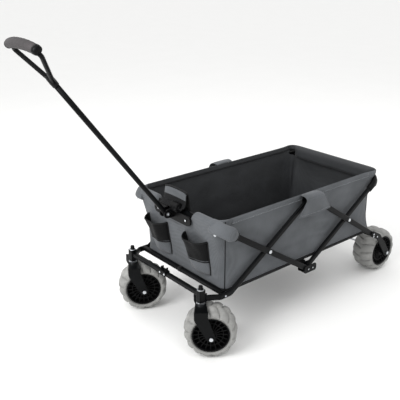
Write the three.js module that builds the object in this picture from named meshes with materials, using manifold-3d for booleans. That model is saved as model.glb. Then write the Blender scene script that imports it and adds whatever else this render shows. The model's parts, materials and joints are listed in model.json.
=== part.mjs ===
// Folding beach cart: a fabric tub on a double scissor frame, with a pull handle and four wide wheels.
// Millimetres, +Z up. The handle points to -Y, and the cart's left side is +X.
import * as THREE from "three";
import { mergeVertices } from "three/addons/utils/BufferGeometryUtils.js";
import Module from "manifold-3d";

const wasm = await Module();
wasm.setup();

// Clearances
const seatGap = 0.4; // between pieces that rest against each other
const pinGap = 0.25; // around a pin in its hole
const sideGap = 3; // between the two bars of a cross
const cheekGap = 1; // between a bar and the cheek of its bracket
const fabricGap = 2; // between the tub and the frame beside it

// Scissor frame
const frameHalfWidth = 252; // middle of the two bar planes of a long side
const barThin = 12;
const barTall = 22;
const barCorner = 5;
const lowerPivotZ = 190;
const upperPivotZ = 469;
const pivotSpread = 12; // from the middle of the cart to each middle pivot
const crossY = 226; // from the middle of the cart to each crossing
const pinRadius = 4;
const rivetHeadRadius = 7;
const rivetHeadHeight = 2;
const hoopFrontY = 445;
const hoopRearY = 432;
const hoopBend = 45;

// Front running gear
const bearingHeight = 7; // between the fork's web and the housing
const legRise = 12; // level stretch of a front leg over the housing's bottom
const legBend = 40;
const legTurnY = 446; // where a front leg turns in to its castor
const castorX = 207;
const castorY = 503;
const housingSide = 25;
const housingHeight = 45;
const crossBarSide = 16;
const castorBarRise = 27; // over the housing's bottom
const lowerBarY = 427;
const lowerBarRise = 5; // over the level stretch of the front legs
const clipHalfWidth = 17;
const clipWall = 2.5;
const clipEarHeight = 13;

// Castors
const swivelLeft = 39;
const swivelRight = 30;
const trail = 35;
const forkPlate = 4;
const forkSideGap = 14; // between the tyre and the fork's arm
const forkTyreGap = 4; // between the tyre's top and the fork's web
const forkNeckHalf = 19;
const forkShoulderHalf = 24;
const forkEyeRadius = 15;
const stemRadius = 6;
const stemHeadHeight = 3;
const stemHeadRadius = 9;
const bearingRadius = 16;
const knobRadius = 8;
const knobHeight = 15;
const knobFlangeRadius = 13;
const knobFlangeHeight = 2;
const knobWall = 4; // material over the stem's end

// Wheels
const wheelRadius = 95;
const wheelWidth = 100;
const rimRadius = 68;
const axleRadius = 4;
const axleHeadRadius = 7;
const axleHeadHeight = 5;
const hubRibs = 6;
const hubRecess = 3; // how far the hub's face lies inside the tyre's side

// Rear running gear
const rearAxleY = 514;
const rearHubGap = 4.3; // between a rear hub's boss and its arm
const rearLegEndY = 429;
const rearBarY = 416;
const armPlate = 4;
const armHalf = 13;
const armStartY = 398;
const armElbowY = 441;

// Tub and floor
const tubHalfWidth = frameHalfWidth - barThin - sideGap / 2 - cheekGap - 2.5 - fabricGap;
const tubFrontY = 416;
const tubRearY = 419;
const tubBottomRise = 25; // over the lower middle pivots
const tubTopRise = 26; // over the upper middle pivots
const tubWall = 4;
const tubCorner = 30;
const notchHalfWidth = 88;
const notchDepth = 58;
const leafLength = 380;
const leafThickness = 5;
const leafSideGap = 6;
const leafHingeGap = 3; // half the gap between the two leaves

// Pockets and covers
const pocketX = 112;
const pocketHalfWidth = 60;
const pocketDepth = 44;
const pocketWall = 3;
const pocketBarGap = 32; // between the front lower bar and a pocket's bottom
const pocketTopDrop = 68; // under the handle's pivot
const coverThickness = 3;
const coverDrop = 46; // under the upper middle pivots
const coverRise = 22; // over the upper middle pivots
const coverBottomHalf = 87;
const coverTopHalf = 18;
const flapHalfWidth = 68;
const flapRise = 80; // over the handle's pivot

// Brackets of the middle pivots
const cheekInner = 2.5;
const cheekOuter = 3;
const bracketHalfLength = 34;
const bracketOverhang = 15;
const middleBarRadius = 9;
const middleBarRise = 14; // over the lower middle pivots

// Handle
const handlePivotReach = 48; // in front of the hoop's middle
const handlePivotDrop = 4.26; // under the hoop's middle
const handleTilt = 52.6; // above the horizontal
const handleLength = 668;
const handleRadius = 9;
const loopRadius = 7;
const loopReach = 108;
const gripHalfWidth = 94;
const gripBow = 16;
const gripRadius = 12;
const earGap = 1.5;
const earThickness = 5;
const earRadius = 16;
const bracketPlateHalf = 105;
const bracketPlateRadius = 19;
const bracketPlateDrop = 12; // under the handle's pivot
const bracketRivetInset = 26; // from the plate's ends
const bracketPlate = 6;
const bracketStandoff = 14; // plate's back from the middle of the hoop
const saddleHalf = 24;
const saddleRise = 22; // over the handle's pivot
const saddleDrop = 16;

// Derived sizes
const outerX = frameHalfWidth + (barThin + sideGap) / 2;
const innerX = frameHalfWidth - (barThin + sideGap) / 2;
const barEnd = barTall / 2;
const scissorSlope = (upperPivotZ - lowerPivotZ) / 2 / (crossY - pivotSpread);
const scissorAngle = Math.atan(scissorSlope);
const risingZ = (y) => lowerPivotZ + scissorSlope * (y - pivotSpread);
const fallingZ = (y) => upperPivotZ - scissorSlope * (y - pivotSpread);
const webBottomZ = 2 * wheelRadius + forkTyreGap;
const webTopZ = webBottomZ + forkPlate;
const forkHalf = wheelWidth / 2 + forkSideGap + forkPlate;
const housingBottomZ = webTopZ + bearingHeight;
const housingTopZ = housingBottomZ + housingHeight;
const legRunZ = housingBottomZ + legRise; // height of the level stretch of a front leg
const castorBarZ = housingBottomZ + castorBarRise;
const lowerBarZ = legRunZ + lowerBarRise;
const innerCheekX = innerX - barThin / 2 - cheekGap;
const outerCheekX = outerX + barThin / 2 + cheekGap;
const rearArmX = outerX + barThin / 2 + seatGap;
const hubReach = wheelWidth / 2 + forkSideGap - seatGap; // from a wheel's middle to its hub's end
const rearWheelX = rearArmX - hubReach - rearHubGap;
const tubBottomZ = lowerPivotZ + tubBottomRise;
const tubTopZ = upperPivotZ + tubTopRise;
const middleBarZ = lowerPivotZ + middleBarRise;
const handlePivotY = hoopFrontY + handlePivotReach;
const handlePivotZ = risingZ(hoopFrontY) - handlePivotDrop;
const flapTopZ = handlePivotZ + flapRise;
const pocketBottomZ = lowerBarZ + crossBarSide / 2 + pocketBarGap;
const pocketTopZ = handlePivotZ - pocketTopDrop;
const coverBottomZ = upperPivotZ - coverDrop;
const coverTopZ = upperPivotZ + coverRise;

// Materials
const paint = { color: 0x1c1d1f, roughness: 0.45, metalness: 0.4 };
const steel = { color: 0xc9cbcd, roughness: 0.3, metalness: 0.9 };
const plastic = { color: 0x18191a, roughness: 0.6, metalness: 0 };
const rubber = { color: 0x9d9e9c, roughness: 0.85, metalness: 0 };
const foam = { color: 0x2a2a2b, roughness: 0.95, metalness: 0 };
const cloth = { color: 0x6b6f73, roughness: 0.9, metalness: 0 };
const mesh = { color: 0x2b2d2f, roughness: 0.9, metalness: 0 };
const board = { color: 0x3a3b3c, roughness: 0.9, metalness: 0 };

const cart = new THREE.Group();

function add(name, geometry, finish, parent = cart) {
  const piece = new THREE.Mesh(geometry, new THREE.MeshStandardMaterial(finish));
  piece.name = name;
  parent.add(piece);
  return piece;
}

// Booleans
function solidOf(geometry) {
  const bare = geometry.clone();
  bare.deleteAttribute("normal");
  bare.deleteAttribute("uv");
  const merged = mergeVertices(bare, 1e-4);
  const data = { numProp: 3, vertProperties: merged.attributes.position.array };
  data.triVerts = new Uint32Array(merged.index.array);
  return new wasm.Manifold(new wasm.Mesh(data));
}

function geometryOf(solid) {
  const data = solid.getMesh();
  const geometry = new THREE.BufferGeometry();
  geometry.setAttribute("position", new THREE.BufferAttribute(data.vertProperties, 3));
  geometry.setIndex(new THREE.BufferAttribute(data.triVerts, 1));
  const flat = geometry.toNonIndexed();
  flat.computeVertexNormals();
  return flat;
}

function cut(geometry, ...tools) {
  let solid = solidOf(geometry);
  for (const tool of tools) solid = solid.subtract(solidOf(tool));
  return geometryOf(solid);
}

function join(...geometries) {
  let solid = solidOf(geometries[0]);
  for (const other of geometries.slice(1)) solid = solid.add(solidOf(other));
  return geometryOf(solid);
}

// Basic shapes
function box(fromX, toX, fromY, toY, fromZ, toZ) {
  const shape = new THREE.BoxGeometry(toX - fromX, toY - fromY, toZ - fromZ);
  return shape.translate((fromX + toX) / 2, (fromY + toY) / 2, (fromZ + toZ) / 2);
}

function rodX(radius, fromX, toX, y, z, sides = 14) {
  const rod = new THREE.CylinderGeometry(radius, radius, toX - fromX, sides);
  return rod.rotateZ(Math.PI / 2).translate((fromX + toX) / 2, y, z);
}

function rodY(radius, fromY, toY, x, z, sides = 14) {
  const rod = new THREE.CylinderGeometry(radius, radius, toY - fromY, sides);
  return rod.translate(x, (fromY + toY) / 2, z);
}

function rodZ(radius, fromZ, toZ, x, y, sides = 16) {
  const rod = new THREE.CylinderGeometry(radius, radius, toZ - fromZ, sides);
  return rod.rotateX(Math.PI / 2).translate(x, y, (fromZ + toZ) / 2);
}

function roundedRectangle(halfWidth, halfHeight, radius) {
  const shape = new THREE.Shape();
  shape.absarc(halfWidth - radius, halfHeight - radius, radius, 0, Math.PI / 2);
  shape.absarc(radius - halfWidth, halfHeight - radius, radius, Math.PI / 2, Math.PI);
  shape.absarc(radius - halfWidth, radius - halfHeight, radius, Math.PI, 1.5 * Math.PI);
  shape.absarc(halfWidth - radius, radius - halfHeight, radius, 1.5 * Math.PI, 2 * Math.PI);
  return shape;
}

function disc(radius) {
  const shape = new THREE.Shape();
  shape.absarc(0, 0, radius, 0, 2 * Math.PI);
  return shape;
}

// A shape drawn in Y and Z, given a thickness along X.
function plateX(shape, fromX, toX, curveSegments = 4) {
  const options = { depth: toX - fromX, bevelEnabled: false, curveSegments };
  const plate = new THREE.ExtrudeGeometry(shape, options);
  // The shape's x becomes Y, its y becomes Z, and its depth becomes X.
  plate.applyMatrix4(new THREE.Matrix4().set(0, 0, 1, fromX, 1, 0, 0, 0, 0, 1, 0, 0, 0, 0, 0, 1));
  return plate;
}

// A shape drawn in X and Y, given a thickness along Z.
function plateZ(shape, fromZ, toZ, curveSegments = 4) {
  const options = { depth: toZ - fromZ, bevelEnabled: false, curveSegments };
  return new THREE.ExtrudeGeometry(shape, options).translate(0, 0, fromZ);
}

// Two circles and the straight sides that touch both.
function linkShape(fromY, fromZ, fromRadius, toY, toZ, toRadius) {
  const direction = Math.atan2(toZ - fromZ, toY - fromY);
  const span = Math.hypot(toY - fromY, toZ - fromZ);
  const lean = Math.acos((fromRadius - toRadius) / span);
  const shape = new THREE.Shape();
  shape.absarc(toY, toZ, toRadius, direction - lean, direction + lean, false);
  shape.absarc(fromY, fromZ, fromRadius, direction + lean, direction - lean + 2 * Math.PI, false);
  return shape;
}

// A path of straight stretches with round bends, sampled only where it turns.
class BentPath extends THREE.Curve {
  constructor(corners, bendRadius, bendSteps = 5) {
    super();
    this.points = [];
    this.tangents = [];
    const ways = corners.slice(1).map((corner, i) => corner.clone().sub(corners[i]).normalize());
    this.station(corners[0], ways[0]);
    for (let i = 1; i < corners.length - 1; i++) {
      this.bend(corners[i], ways[i - 1], ways[i], bendRadius, bendSteps);
    }
    this.station(corners[corners.length - 1], ways[ways.length - 1]);
  }

  station(point, way) {
    this.points.push(point.clone());
    this.tangents.push(way.clone());
  }

  bend(corner, wayIn, wayOut, radius, steps) {
    const turn = wayIn.angleTo(wayOut);
    const axis = wayIn.clone().cross(wayOut).normalize();
    const start = corner.clone().addScaledVector(wayIn, -radius * Math.tan(turn / 2));
    const centre = start.clone().addScaledVector(axis.clone().cross(wayIn), radius);
    for (let i = 0; i <= steps; i++) {
      const angle = (turn * i) / steps;
      const arm = start.clone().sub(centre).applyAxisAngle(axis, angle);
      this.station(centre.clone().add(arm), wayIn.clone().applyAxisAngle(axis, angle));
    }
  }

  getSpacedPoints() {
    return this.points;
  }

  // Frames carried along the path, starting from the section's tall side nearest to +Z.
  computeFrenetFrames() {
    const first = this.tangents[0];
    const up = new THREE.Vector3(0, 0, 1);
    let tall = up.clone().addScaledVector(first, -up.dot(first)).normalize();
    const frames = { tangents: this.tangents, normals: [], binormals: [] };
    this.tangents.forEach((tangent, i) => {
      if (i > 0) {
        const turn = new THREE.Quaternion().setFromUnitVectors(this.tangents[i - 1], tangent);
        tall = tall.clone().applyQuaternion(turn);
      }
      frames.binormals.push(tall);
      frames.normals.push(tall.clone().cross(tangent));
    });
    return frames;
  }
}

function bentBar(corners, bendRadius, shape, curveSegments = 1) {
  const path = new BentPath(corners, bendRadius);
  const steps = path.points.length - 1;
  return new THREE.ExtrudeGeometry(shape, { extrudePath: path, steps, curveSegments });
}

const barShape = roundedRectangle(barThin / 2, barTall / 2, barCorner);
const crossBarShape = roundedRectangle(crossBarSide / 2, crossBarSide / 2, 3);
const point = (x, y, z) => new THREE.Vector3(x, y, z);

// The hole of a pivot, along X through a bar whose middle is at barX.
const pivotHole = (barX, y, z) => rodX(pinRadius + pinGap, barX - barThin, barX + barThin, y, z);

// A round end on a bar: what lies outside a cylinder about the pivot is cut away.
function roundEnd(barX, pivotY, pivotZ, wayY, wayZ) {
  const reach = barEnd * 1.6;
  const shape = new THREE.Shape();
  shape.moveTo(-reach, -reach);
  shape.lineTo(0, -reach);
  shape.lineTo(0, -barEnd);
  shape.absarc(0, 0, barEnd, -Math.PI / 2, -1.5 * Math.PI, true);
  shape.lineTo(0, reach);
  shape.lineTo(-reach, reach);
  const tool = plateX(shape, barX - barThin, barX + barThin);
  return tool.rotateX(Math.atan2(wayZ, wayY)).translate(0, pivotY, pivotZ);
}

// Frame
function makeHoop(name, end, hoopY, barX) {
  const way = point(0, end * Math.cos(scissorAngle), Math.sin(scissorAngle));
  const pivot = point(barX, end * pivotSpread, lowerPivotZ);
  const start = pivot.clone().addScaledVector(way, -barEnd);
  const corner = point(barX, end * hoopY, risingZ(hoopY));
  const mirrored = (p) => point(-p.x, p.y, p.z);
  const corners = [start, corner, mirrored(corner), mirrored(start)];
  const tools = [];
  for (const side of [1, -1]) {
    tools.push(roundEnd(side * barX, pivot.y, pivot.z, way.y, way.z));
    tools.push(pivotHole(side * barX, pivot.y, pivot.z));
    tools.push(pivotHole(side * barX, end * crossY, risingZ(crossY)));
  }
  return add(name, cut(bentBar(corners, hoopBend, barShape), ...tools), paint);
}

function makeFrontLeg(side, name) {
  const way = point(0, -Math.cos(scissorAngle), -Math.sin(scissorAngle));
  const pivot = point(innerX, -pivotSpread, upperPivotZ);
  const start = pivot.clone().addScaledVector(way, -barEnd);
  const kneeY = pivotSpread + (upperPivotZ - legRunZ) / scissorSlope;
  const corners = [
    start,
    point(innerX, -kneeY, legRunZ),
    point(innerX, -legTurnY, legRunZ),
    point(castorX + 2, -castorY + 4, legRunZ),
  ];
  const half = housingSide / 2 + seatGap;
  const housing = box(
    castorX - half, castorX + half, -castorY - half, -castorY + half, legRunZ - barTall, legRunZ + barTall,
  );
  const leg = cut(
    bentBar(corners, legBend / 2, barShape),
    roundEnd(innerX, pivot.y, pivot.z, way.y, way.z),
    pivotHole(innerX, pivot.y, pivot.z),
    pivotHole(innerX, -crossY, fallingZ(crossY)),
    housing,
  );
  const face = innerX + barThin / 2;
  const rivet = rodX(rivetHeadRadius - 2, face - 1, face + rivetHeadHeight, -lowerBarY, legRunZ);
  add(name, join(leg, rivet), paint).scale.x = side;
}

function makeRearLeg(side, name) {
  const way = point(0, Math.cos(scissorAngle), -Math.sin(scissorAngle));
  const pivot = point(outerX, pivotSpread, upperPivotZ);
  const start = pivot.clone().addScaledVector(way, -barEnd);
  const last = point(outerX, rearLegEndY, fallingZ(rearLegEndY));
  const leg = cut(
    bentBar([start, last.clone().addScaledVector(way, barEnd)], hoopBend, barShape),
    roundEnd(outerX, pivot.y, pivot.z, way.y, way.z),
    roundEnd(outerX, last.y, last.z, -way.y, -way.z),
    pivotHole(outerX, pivot.y, pivot.z),
    pivotHole(outerX, crossY, fallingZ(crossY)),
  );
  add(name, leg, paint).scale.x = side;
}

function makeCrossPin(side, end, name) {
  const z = risingZ(crossY);
  const inner = innerX - barThin / 2 - seatGap;
  const outer = outerX + barThin / 2 + seatGap;
  const spacer = (sideGap - 2 * seatGap) / 2;
  const pin = join(
    rodX(pinRadius, inner - 1, outer + 1, end * crossY, z),
    rodX(rivetHeadRadius, inner - rivetHeadHeight, inner, end * crossY, z),
    rodX(rivetHeadRadius, outer, outer + rivetHeadHeight, end * crossY, z),
    rodX(rivetHeadRadius + 2, frameHalfWidth - spacer, frameHalfWidth + spacer, end * crossY, z),
  );
  add(name, pin, steel).scale.x = side;
}

// A channel round two bar ends, with a stud through each. Up is +1 when its bridge lies over the bars.
function makeChannel(side, up, pivotZ, name) {
  const bridgeNear = pivotZ + up * (barEnd + cheekGap);
  const bridgeFar = bridgeNear + up * cheekOuter;
  const openEdge = pivotZ - up * bracketOverhang;
  const middleZ = (bridgeFar + openEdge) / 2;
  const cheek = roundedRectangle(bracketHalfLength, Math.abs(bridgeFar - openEdge) / 2, 8);
  const bridgeLow = Math.min(bridgeNear, bridgeFar);
  const bridgeHigh = Math.max(bridgeNear, bridgeFar);
  const bridgeHalf = bracketHalfLength - 8;
  const pieces = [
    plateX(cheek, innerCheekX - cheekInner, innerCheekX, 1).translate(0, 0, middleZ),
    plateX(cheek, outerCheekX, outerCheekX + cheekOuter, 1).translate(0, 0, middleZ),
    box(innerCheekX - 1, outerCheekX + 1, -bridgeHalf, bridgeHalf, bridgeLow, bridgeHigh),
  ];
  for (const y of [-pivotSpread, pivotSpread]) {
    pieces.push(rodX(pinRadius, innerCheekX - 1, outerCheekX + 1, y, pivotZ));
    pieces.push(
      rodX(rivetHeadRadius - 2, outerCheekX + 1, outerCheekX + cheekOuter + 1.6, y, pivotZ),
    );
  }
  add(name, join(...pieces), paint).scale.x = side;
}

function makeMiddleBar() {
  const reach = innerCheekX - cheekInner - seatGap;
  add("middle_bar", rodX(middleBarRadius, -reach, reach, 0, middleBarZ, 20), paint);
}

function makeFrontBars() {
  const castorReach = castorX - housingSide / 2 - seatGap;
  const castorEnds = [-castorReach, castorReach].map((x) => point(x, -castorY, castorBarZ));
  add("castor_bar", bentBar(castorEnds, 1, crossBarShape), paint);
  const lowerReach = innerX - barThin / 2 - seatGap;
  const lowerEnds = [-lowerReach, lowerReach].map((x) => point(x, -lowerBarY, lowerBarZ));
  add("front_lower_bar", bentBar(lowerEnds, 1, crossBarShape), paint);
}

function makeRearBar() {
  const reach = outerX - barThin / 2 - seatGap;
  const ends = [-reach, reach].map((x) => point(x, rearBarY, fallingZ(rearBarY)));
  add("rear_lower_bar", bentBar(ends, 1, crossBarShape), paint);
}

// A saddle over the castor bar with two standing ears and two rivets.
function makeCastorClip() {
  const inside = crossBarSide / 2 + seatGap;
  const outside = inside + clipWall;
  const earTop = castorBarZ + outside + clipEarHeight;
  const front = -castorY - outside;
  const saddleTop = castorBarZ + outside;
  const saddle = box(
    -clipHalfWidth, clipHalfWidth, front, front + 2 * outside, castorBarZ - inside, saddleTop,
  );
  const reach = clipHalfWidth + 1;
  const bar = box(
    -reach, reach, -castorY - inside, -castorY + inside, castorBarZ - outside, castorBarZ + inside,
  );
  const pieces = [cut(saddle, bar)];
  for (const side of [-1, 1]) {
    const x = side * (clipHalfWidth - 4);
    pieces.push(box(x - 1.5, x + 1.5, -castorY - 6, -castorY + 6, castorBarZ + inside, earTop));
    pieces.push(rodY(4.5, front - rivetHeadHeight, front + 1, x, castorBarZ));
  }
  add("castor_bar_clip", join(...pieces), paint);
}

function makeCastorHousing(side, name) {
  const half = housingSide / 2;
  const shape = roundedRectangle(half, half, 3);
  const block = plateZ(shape, housingBottomZ, housingTopZ, 1).translate(castorX, -castorY, 0);
  const bore = rodZ(stemRadius + pinGap, housingBottomZ - 1, housingTopZ + 1, castorX, -castorY);
  add(name, cut(block, bore), paint).scale.x = side;
}

// Castors, drawn about their stem with the wheel trailing to +Y, then swivelled.
function forkArm(fromX, toX) {
  const wide = linkShape(0, webTopZ - forkShoulderHalf, forkShoulderHalf, trail, wheelRadius, forkEyeRadius);
  const shoulder = box(fromX, toX, -forkShoulderHalf, forkShoulderHalf, webTopZ - forkShoulderHalf, webTopZ);
  return join(plateX(wide, fromX, toX), shoulder);
}

function forkWeb() {
  const shape = new THREE.Shape();
  shape.moveTo(-forkHalf, -forkShoulderHalf);
  shape.lineTo(0, -forkNeckHalf);
  shape.lineTo(forkHalf, -forkShoulderHalf);
  shape.lineTo(forkHalf, forkShoulderHalf);
  shape.lineTo(0, forkNeckHalf);
  shape.lineTo(-forkHalf, forkShoulderHalf);
  return plateZ(shape, webBottomZ, webTopZ);
}

function makeFork(parent, name) {
  const armFace = forkHalf - forkPlate;
  const fork = join(forkWeb(), forkArm(armFace, forkHalf), forkArm(-forkHalf, -armFace));
  const axleHole = rodX(axleRadius + pinGap, -forkHalf - 1, forkHalf + 1, trail, wheelRadius);
  const stemHole = rodZ(stemRadius + pinGap, webBottomZ - 1, webTopZ + 1, 0, 0);
  add(name, cut(fork, axleHole, stemHole), paint, parent);
}

function makeStem(parent, name) {
  const top = housingTopZ + seatGap + knobFlangeHeight + knobHeight - knobWall - seatGap;
  const headTop = webBottomZ - seatGap;
  const shaft = rodZ(stemRadius, headTop - 1, top, 0, 0);
  add(name, join(shaft, rodZ(stemHeadRadius, headTop - stemHeadHeight, headTop, 0, 0, 6)), steel, parent);
}

function makeBearing(parent, name) {
  const ring = rodZ(bearingRadius, webTopZ + seatGap, housingBottomZ - seatGap, 0, 0, 24);
  add(name, cut(ring, rodZ(stemRadius + pinGap, webTopZ, housingBottomZ, 0, 0)), steel, parent);
}

function makeKnob(parent, name) {
  const base = housingTopZ + seatGap;
  const top = base + knobFlangeHeight + knobHeight;
  const body = join(
    rodZ(knobFlangeRadius, base, base + knobFlangeHeight, 0, 0, 24),
    rodZ(knobRadius, base + 1, top, 0, 0),
  );
  add(name, cut(body, rodZ(stemRadius + pinGap, base - 1, top - knobWall, 0, 0)), plastic, parent);
}

function makeCastorAxle(parent, name) {
  const seat = forkHalf + seatGap;
  const axle = join(
    rodX(axleRadius, -seat - 1, seat + 1, trail, wheelRadius),
    rodX(axleHeadRadius, seat, seat + axleHeadHeight, trail, wheelRadius),
    rodX(axleHeadRadius, -seat - axleHeadHeight, -seat, trail, wheelRadius),
  );
  add(name, axle, steel, parent);
}

function latheX(profile, sides) {
  return new THREE.LatheGeometry(profile, sides).rotateZ(-Math.PI / 2);
}

function makeTyre(parent, name, x, y) {
  const half = wheelWidth / 2;
  const rim = rimRadius / wheelRadius;
  const profile = [
    [rim, -0.92], [0.79, -1], [0.9, -0.92], [0.97, -0.6], [1, 0],
    [0.97, 0.6], [0.9, 0.92], [0.79, 1], [rim, 0.92], [rim, -0.92],
  ].map(([radius, across]) => new THREE.Vector2(radius * wheelRadius, across * half));
  add(name, latheX(profile, 32).translate(x, y, wheelRadius), rubber, parent);
}

// Rim, recessed disc, boss and radial ribs on both faces.
function makeHub(parent, name, x, y) {
  const outer = rimRadius - seatGap;
  const half = wheelWidth / 2 - hubRecess;
  const bore = axleRadius + pinGap;
  const profile = [
    [bore, -hubReach], [14, -hubReach], [17, -5], [outer - 5, -5], [outer - 5, -half], [outer, -half],
    [outer, half], [outer - 5, half], [outer - 5, 5], [17, 5], [14, hubReach], [bore, hubReach],
    [bore, -hubReach],
  ].map(([radius, across]) => new THREE.Vector2(radius, across));
  const ribs = [];
  for (let i = 0; i < hubRibs / 2; i++) {
    const rib = box(-half + 8, half - 8, -3, 3, -outer + 2, outer - 2);
    ribs.push(rib.rotateX((2 * Math.PI * i) / hubRibs));
  }
  const hub = cut(join(latheX(profile, 24), ...ribs), rodX(bore, -hubReach - 1, hubReach + 1, 0, 0, 24));
  add(name, hub.translate(x, y, wheelRadius), plastic, parent);
}

function makeCastor(side, swivel, word) {
  const castor = new THREE.Group();
  castor.position.set(side * castorX, -castorY, 0);
  castor.rotation.z = THREE.MathUtils.degToRad(-swivel);
  cart.add(castor);
  makeFork(castor, "castor_fork_" + word);
  makeStem(castor, "castor_stem_" + word);
  makeBearing(castor, "castor_bearing_" + word);
  makeKnob(castor, "castor_knob_" + word);
  makeCastorAxle(castor, "castor_axle_" + word);
  makeTyre(castor, "tyre_front_" + word, 0, trail);
  makeHub(castor, "hub_front_" + word, 0, trail);
}

// Rear running gear
function makeRearArm(side, name) {
  const elbowZ = fallingZ(armElbowY) + 4;
  const face = rearArmX + armPlate;
  const pieces = [
    plateX(linkShape(armStartY, fallingZ(armStartY), armHalf, armElbowY, elbowZ, armHalf), rearArmX, face),
    plateX(linkShape(armElbowY, elbowZ, armHalf, rearAxleY, wheelRadius, forkEyeRadius), rearArmX, face),
  ];
  for (const [y, rise] of [[armStartY + 2, 5], [armStartY + 2, -5], [rearLegEndY - 2, 0]]) {
    pieces.push(rodX(4.5, face - 1, face + rivetHeadHeight, y, fallingZ(y) + rise, 14));
  }
  const hole = rodX(axleRadius + pinGap, rearArmX - 1, face + 1, rearAxleY, wheelRadius);
  add(name, cut(join(...pieces), hole), paint).scale.x = side;
}

function makeRearAxle() {
  const seat = rearArmX + armPlate + seatGap;
  const axle = join(
    rodX(axleRadius, -seat - 1, seat + 1, rearAxleY, wheelRadius),
    rodX(axleHeadRadius, seat, seat + axleHeadHeight, rearAxleY, wheelRadius),
    rodX(axleHeadRadius, -seat - axleHeadHeight, -seat, rearAxleY, wheelRadius),
  );
  add("rear_axle", axle, steel);
}

function makeRearWheel(side, word) {
  makeTyre(cart, "tyre_rear_" + word, side * rearWheelX, rearAxleY);
  makeHub(cart, "hub_rear_" + word, side * rearWheelX, rearAxleY);
}

// Black cap over the outside of a rear hoop corner.
function makeRearCorner(side, name) {
  const z = risingZ(hoopRearY);
  const x = innerX + barThin / 2 + 4;
  const block = box(x - 34, x, hoopRearY - 20, hoopRearY + 18, z - 34, z + 20);
  const way = point(0, Math.cos(scissorAngle), Math.sin(scissorAngle));
  const foot = point(innerX, hoopRearY, z).addScaledVector(way, -90);
  const corner = point(innerX, hoopRearY, z);
  const room = roundedRectangle(barThin / 2 + seatGap, barTall / 2 + seatGap, barCorner);
  const hoop = bentBar([foot, corner, point(0, hoopRearY, z)], hoopBend, room);
  const inside = box(x - 60, x - 22, hoopRearY - 40, hoopRearY - 8, z - 60, z + 60);
  add(name, cut(block, hoop, inside), plastic).scale.x = side;
}

// Tub, floor, pockets and covers
function tubShape(inset) {
  const halfLength = (tubFrontY + tubRearY) / 2 - inset;
  const corner = tubCorner - inset;
  return roundedRectangle(tubHalfWidth - inset, halfLength, corner);
}

function makeTub() {
  const middleY = (tubRearY - tubFrontY) / 2;
  const outside = plateZ(tubShape(0), tubBottomZ, tubTopZ, 2).translate(0, middleY, 0);
  const inside = plateZ(tubShape(tubWall), tubBottomZ + tubWall, tubTopZ + 1, 2).translate(0, middleY, 0);
  const notchInnerY = -tubFrontY + tubWall + 1;
  const notch = box(
    -notchHalfWidth, notchHalfWidth, -tubFrontY - 1, notchInnerY, tubTopZ - notchDepth, tubTopZ + 1,
  );
  add("tub", cut(outside, inside, notch), cloth);
}

function makeFloorLeaf(end, name) {
  const half = tubHalfWidth - tubWall - leafSideGap;
  const low = tubBottomZ + tubWall + 1;
  const near = end * leafHingeGap;
  const far = end * leafLength;
  const leaf = box(-half, half, Math.min(near, far), Math.max(near, far), low, low + leafThickness);
  add(name, leaf, board);
}

function makePocket(side, name) {
  const back = -tubFrontY - seatGap;
  const profile = (inset) => {
    const half = pocketHalfWidth - inset;
    const front = back - pocketDepth + inset;
    const shoulder = back - pocketDepth * 0.55;
    const shape = new THREE.Shape();
    shape.moveTo(-half, back - inset);
    shape.lineTo(-half, shoulder);
    shape.quadraticCurveTo(-half, front, 0, front);
    shape.quadraticCurveTo(half, front, half, shoulder);
    shape.lineTo(half, back - inset);
    return shape;
  };
  const outside = plateZ(profile(0), pocketBottomZ, pocketTopZ, 5);
  const inside = plateZ(profile(pocketWall), pocketBottomZ + pocketWall, pocketTopZ + 1, 5);
  add(name, cut(outside, inside).translate(side * pocketX, 0, 0), mesh);
}

function makeSideCover(side, name) {
  const shape = new THREE.Shape();
  shape.moveTo(-coverBottomHalf, coverBottomZ);
  shape.lineTo(coverBottomHalf, coverBottomZ);
  shape.lineTo(coverTopHalf, coverTopZ);
  shape.lineTo(-coverTopHalf, coverTopZ);
  const near = outerCheekX + cheekOuter + fabricGap;
  add(name, plateX(shape, near, near + coverThickness), cloth).scale.x = side;
}

// A standing flap behind the handle bracket, over the front hoop.
function makeFrontCover() {
  const z = handlePivotZ + saddleRise + fabricGap;
  const shape = new THREE.Shape();
  shape.moveTo(-hoopFrontY - 12, z);
  shape.lineTo(-hoopFrontY + 8, z);
  shape.lineTo(-hoopFrontY + 10, flapTopZ - 4);
  shape.lineTo(-hoopFrontY + 7, flapTopZ);
  shape.lineTo(-hoopFrontY + 2, flapTopZ - 2);
  shape.lineTo(-hoopFrontY - 10, z + 26);
  add("front_cover", plateX(shape, -flapHalfWidth, flapHalfWidth), cloth);
}

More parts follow.
